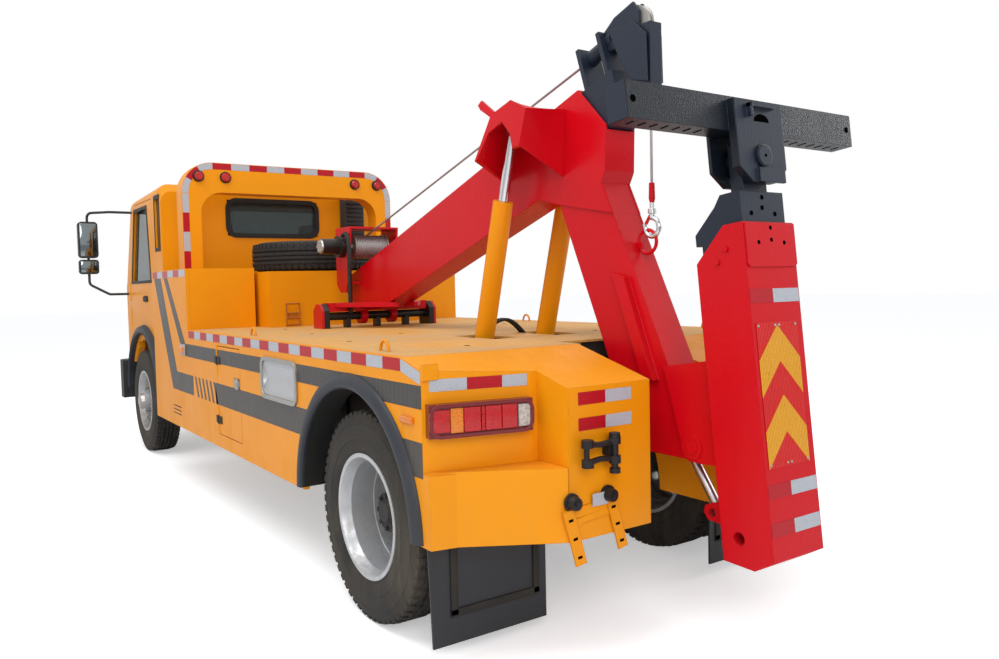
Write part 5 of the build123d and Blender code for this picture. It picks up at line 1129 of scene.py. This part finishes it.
arch = bmesh.new()
rings = [[arch.verts.new(point) for point in portal(half, top, radius, x)] for half, top, radius,
         x in ((0.930, 2.510, 0.250, arch_rear), (0.780, 2.270, 0.170, arch_rear),
               (0.780, 2.270, 0.170, 3.663), (0.930, 2.510, 0.250, 3.663))]
for near, far in zip(rings, rings[1:] + rings[:1]):
    for index in range(len(near) - 1):
        arch.faces.new((near[index], near[index + 1], far[index + 1], far[index]))
for end in (0, -1):
    arch.faces.new([ring[end] for ring in rings])
rounded_arch = add_piece("light_arch_folded", arch, amber, "root")
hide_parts("light_arch")


def sweep_flare(mesh, centre_x, centre_z, profile, first, last, side, steps=48):
    loops = []
    for step in range(steps + 1):
        angle = radians(first + (last - first) * step / steps)
        loops.append([mesh.verts.new(at(centre_x + radius * cos(angle), side * y,
                centre_z + radius * sin(angle))) for radius, y in profile])
    for near, far in zip(loops, loops[1:]):
        for index in range(len(near)):
            after = (index + 1) % len(near)
            mesh.faces.new((near[index], near[after], far[after], far[index]))
    mesh.faces.new(loops[0])
    mesh.faces.new(loops[-1])


rolled_lip = ((0.552, 1.128), (0.552, 1.142), (0.560, 1.152), (0.576, 1.156), (0.598, 1.153), (0.610, 1.144),
              (0.616, 1.140), (0.622, 1.1265))
flares, liners, cab_flares = bmesh.new(), bmesh.new(), bmesh.new()
for side in (1, -1):
    sweep_flare(flares, 0.060, 0.480, rolled_lip, 0.6, 179.4, side)
    sweep_flare(liners, 0.060, 0.480, ((0.5545, 1.000), (0.5545, 1.1275), (0.5585, 1.1275), (0.5585, 1.000)),
                0.6, 179.4, side)
    sweep_flare(cab_flares, 4.790, 0.500,
                ((0.600, 0.955), (0.600, 1.020), (0.612, 1.034), (0.655, 1.022), (0.672, 0.981)), 4, 172,
                side, steps=36)
moulded = add_piece("arch_flares_moulded", flares, flare_plastic, "root")
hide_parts("arch_flares")
add_piece("wheel_arch_liners", liners, gasket, "root")
add_piece("cab_wheel_flares", cab_flares, flare_plastic, "root")


# Mirror glass, mud-flap straps and hoses
# Flat glass faces rearwards in both mirror heads, rubber straps frame each mud flap, and a thick hose drops
# from the winch motor to the deck.
mirror_glass = enamel("mirror_glass", (0.20, 0.23, 0.24), 0.1, rough=0.04, peel=0.0, metal=1)
glasses, strap_frames = bmesh.new(), bmesh.new()
for side in (1, -1):
    for low, high, face in ((1.832, 2.148, 5.465), (1.676, 1.784, 5.470)):
        soft_block(glasses, at(face - 0.003, side * 1.320 - 0.073, low),
                   at(face + 0.001, side * 1.320 + 0.073, high), 0.0015)
    for y0, y1, z0, z1 in ((0.965, 0.998, 0.175, 0.478), (0.560, 0.590, 0.175, 0.478),
            (0.560, 0.998, 0.168, 0.200)):
        soft_block(strap_frames, at(-0.547, side * (y0 + y1) / 2 - (y1 - y0) / 2, z0),
                   at(-0.540, side * (y0 + y1) / 2 + (y1 - y0) / 2, z1), 0.002)
add_piece("mirror_glasses", glasses, mirror_glass, "root")
add_piece("mud_flap_straps", strap_frames, gasket, "root")
hose = bmesh.new()
drop = [at(x, y, z) for x, y,
        z in ((2.06, 0.215, 1.842), (2.00, 0.222, 1.850), (1.955, 0.226, 1.815), (1.940, 0.228, 1.74),
              (1.938, 0.230, 1.62), (1.935, 0.230, 1.50), (1.932, 0.232, 1.39), (1.932, 0.232, 1.30))]
add_tube(hose, drop, 0.015)
add_piece("winch_hose", hose, gasket, "boom")
# Drain holes in the deck are thin near-black discs lying on it: painted shade.
drain_hole_shade = bmesh.new()
for x, y in ((1.45, 0.72), (1.45, -0.72), (0.62, 0.86), (0.62, -0.86), (1.02, 0.34), (0.28, -0.52),
             (-0.12, 0.62), (2.15, 0.62)):
    add_pin(drain_hole_shade, at(x, y, 1.2002), at(x, y, 1.2008), 0.014, sides=20)
add_piece("deck_drains", drain_hole_shade, painted_shade_black, "root", smooth=False)
lash_rings = bmesh.new()
for side in (1, -1):
    for x in (-0.10, 1.60):
        add_tube(lash_rings,
                 [at(x + 0.038 * cos(pi * k / 10), side * 1.03, 1.200 + 0.046 * sin(pi * k / 10))
                  for k in range(11)], 0.007)
add_piece("lashing_rings", lash_rings, amber, "root")
cheeks = bmesh.new()
for side in (1, -1):
    add_plate(cheeks,
              [at(x, side * 0.0425, z) for x,
               z in ((-0.470, 2.605), (-0.628, 2.605), (-0.700, 2.540), (-0.706, 2.335), (-0.600, 2.362),
                     (-0.520, 2.500))], Vector((0, side * 0.006, 0)))
add_piece("head_side_plates", cheeks, slate, "swivel_head", smooth=False)
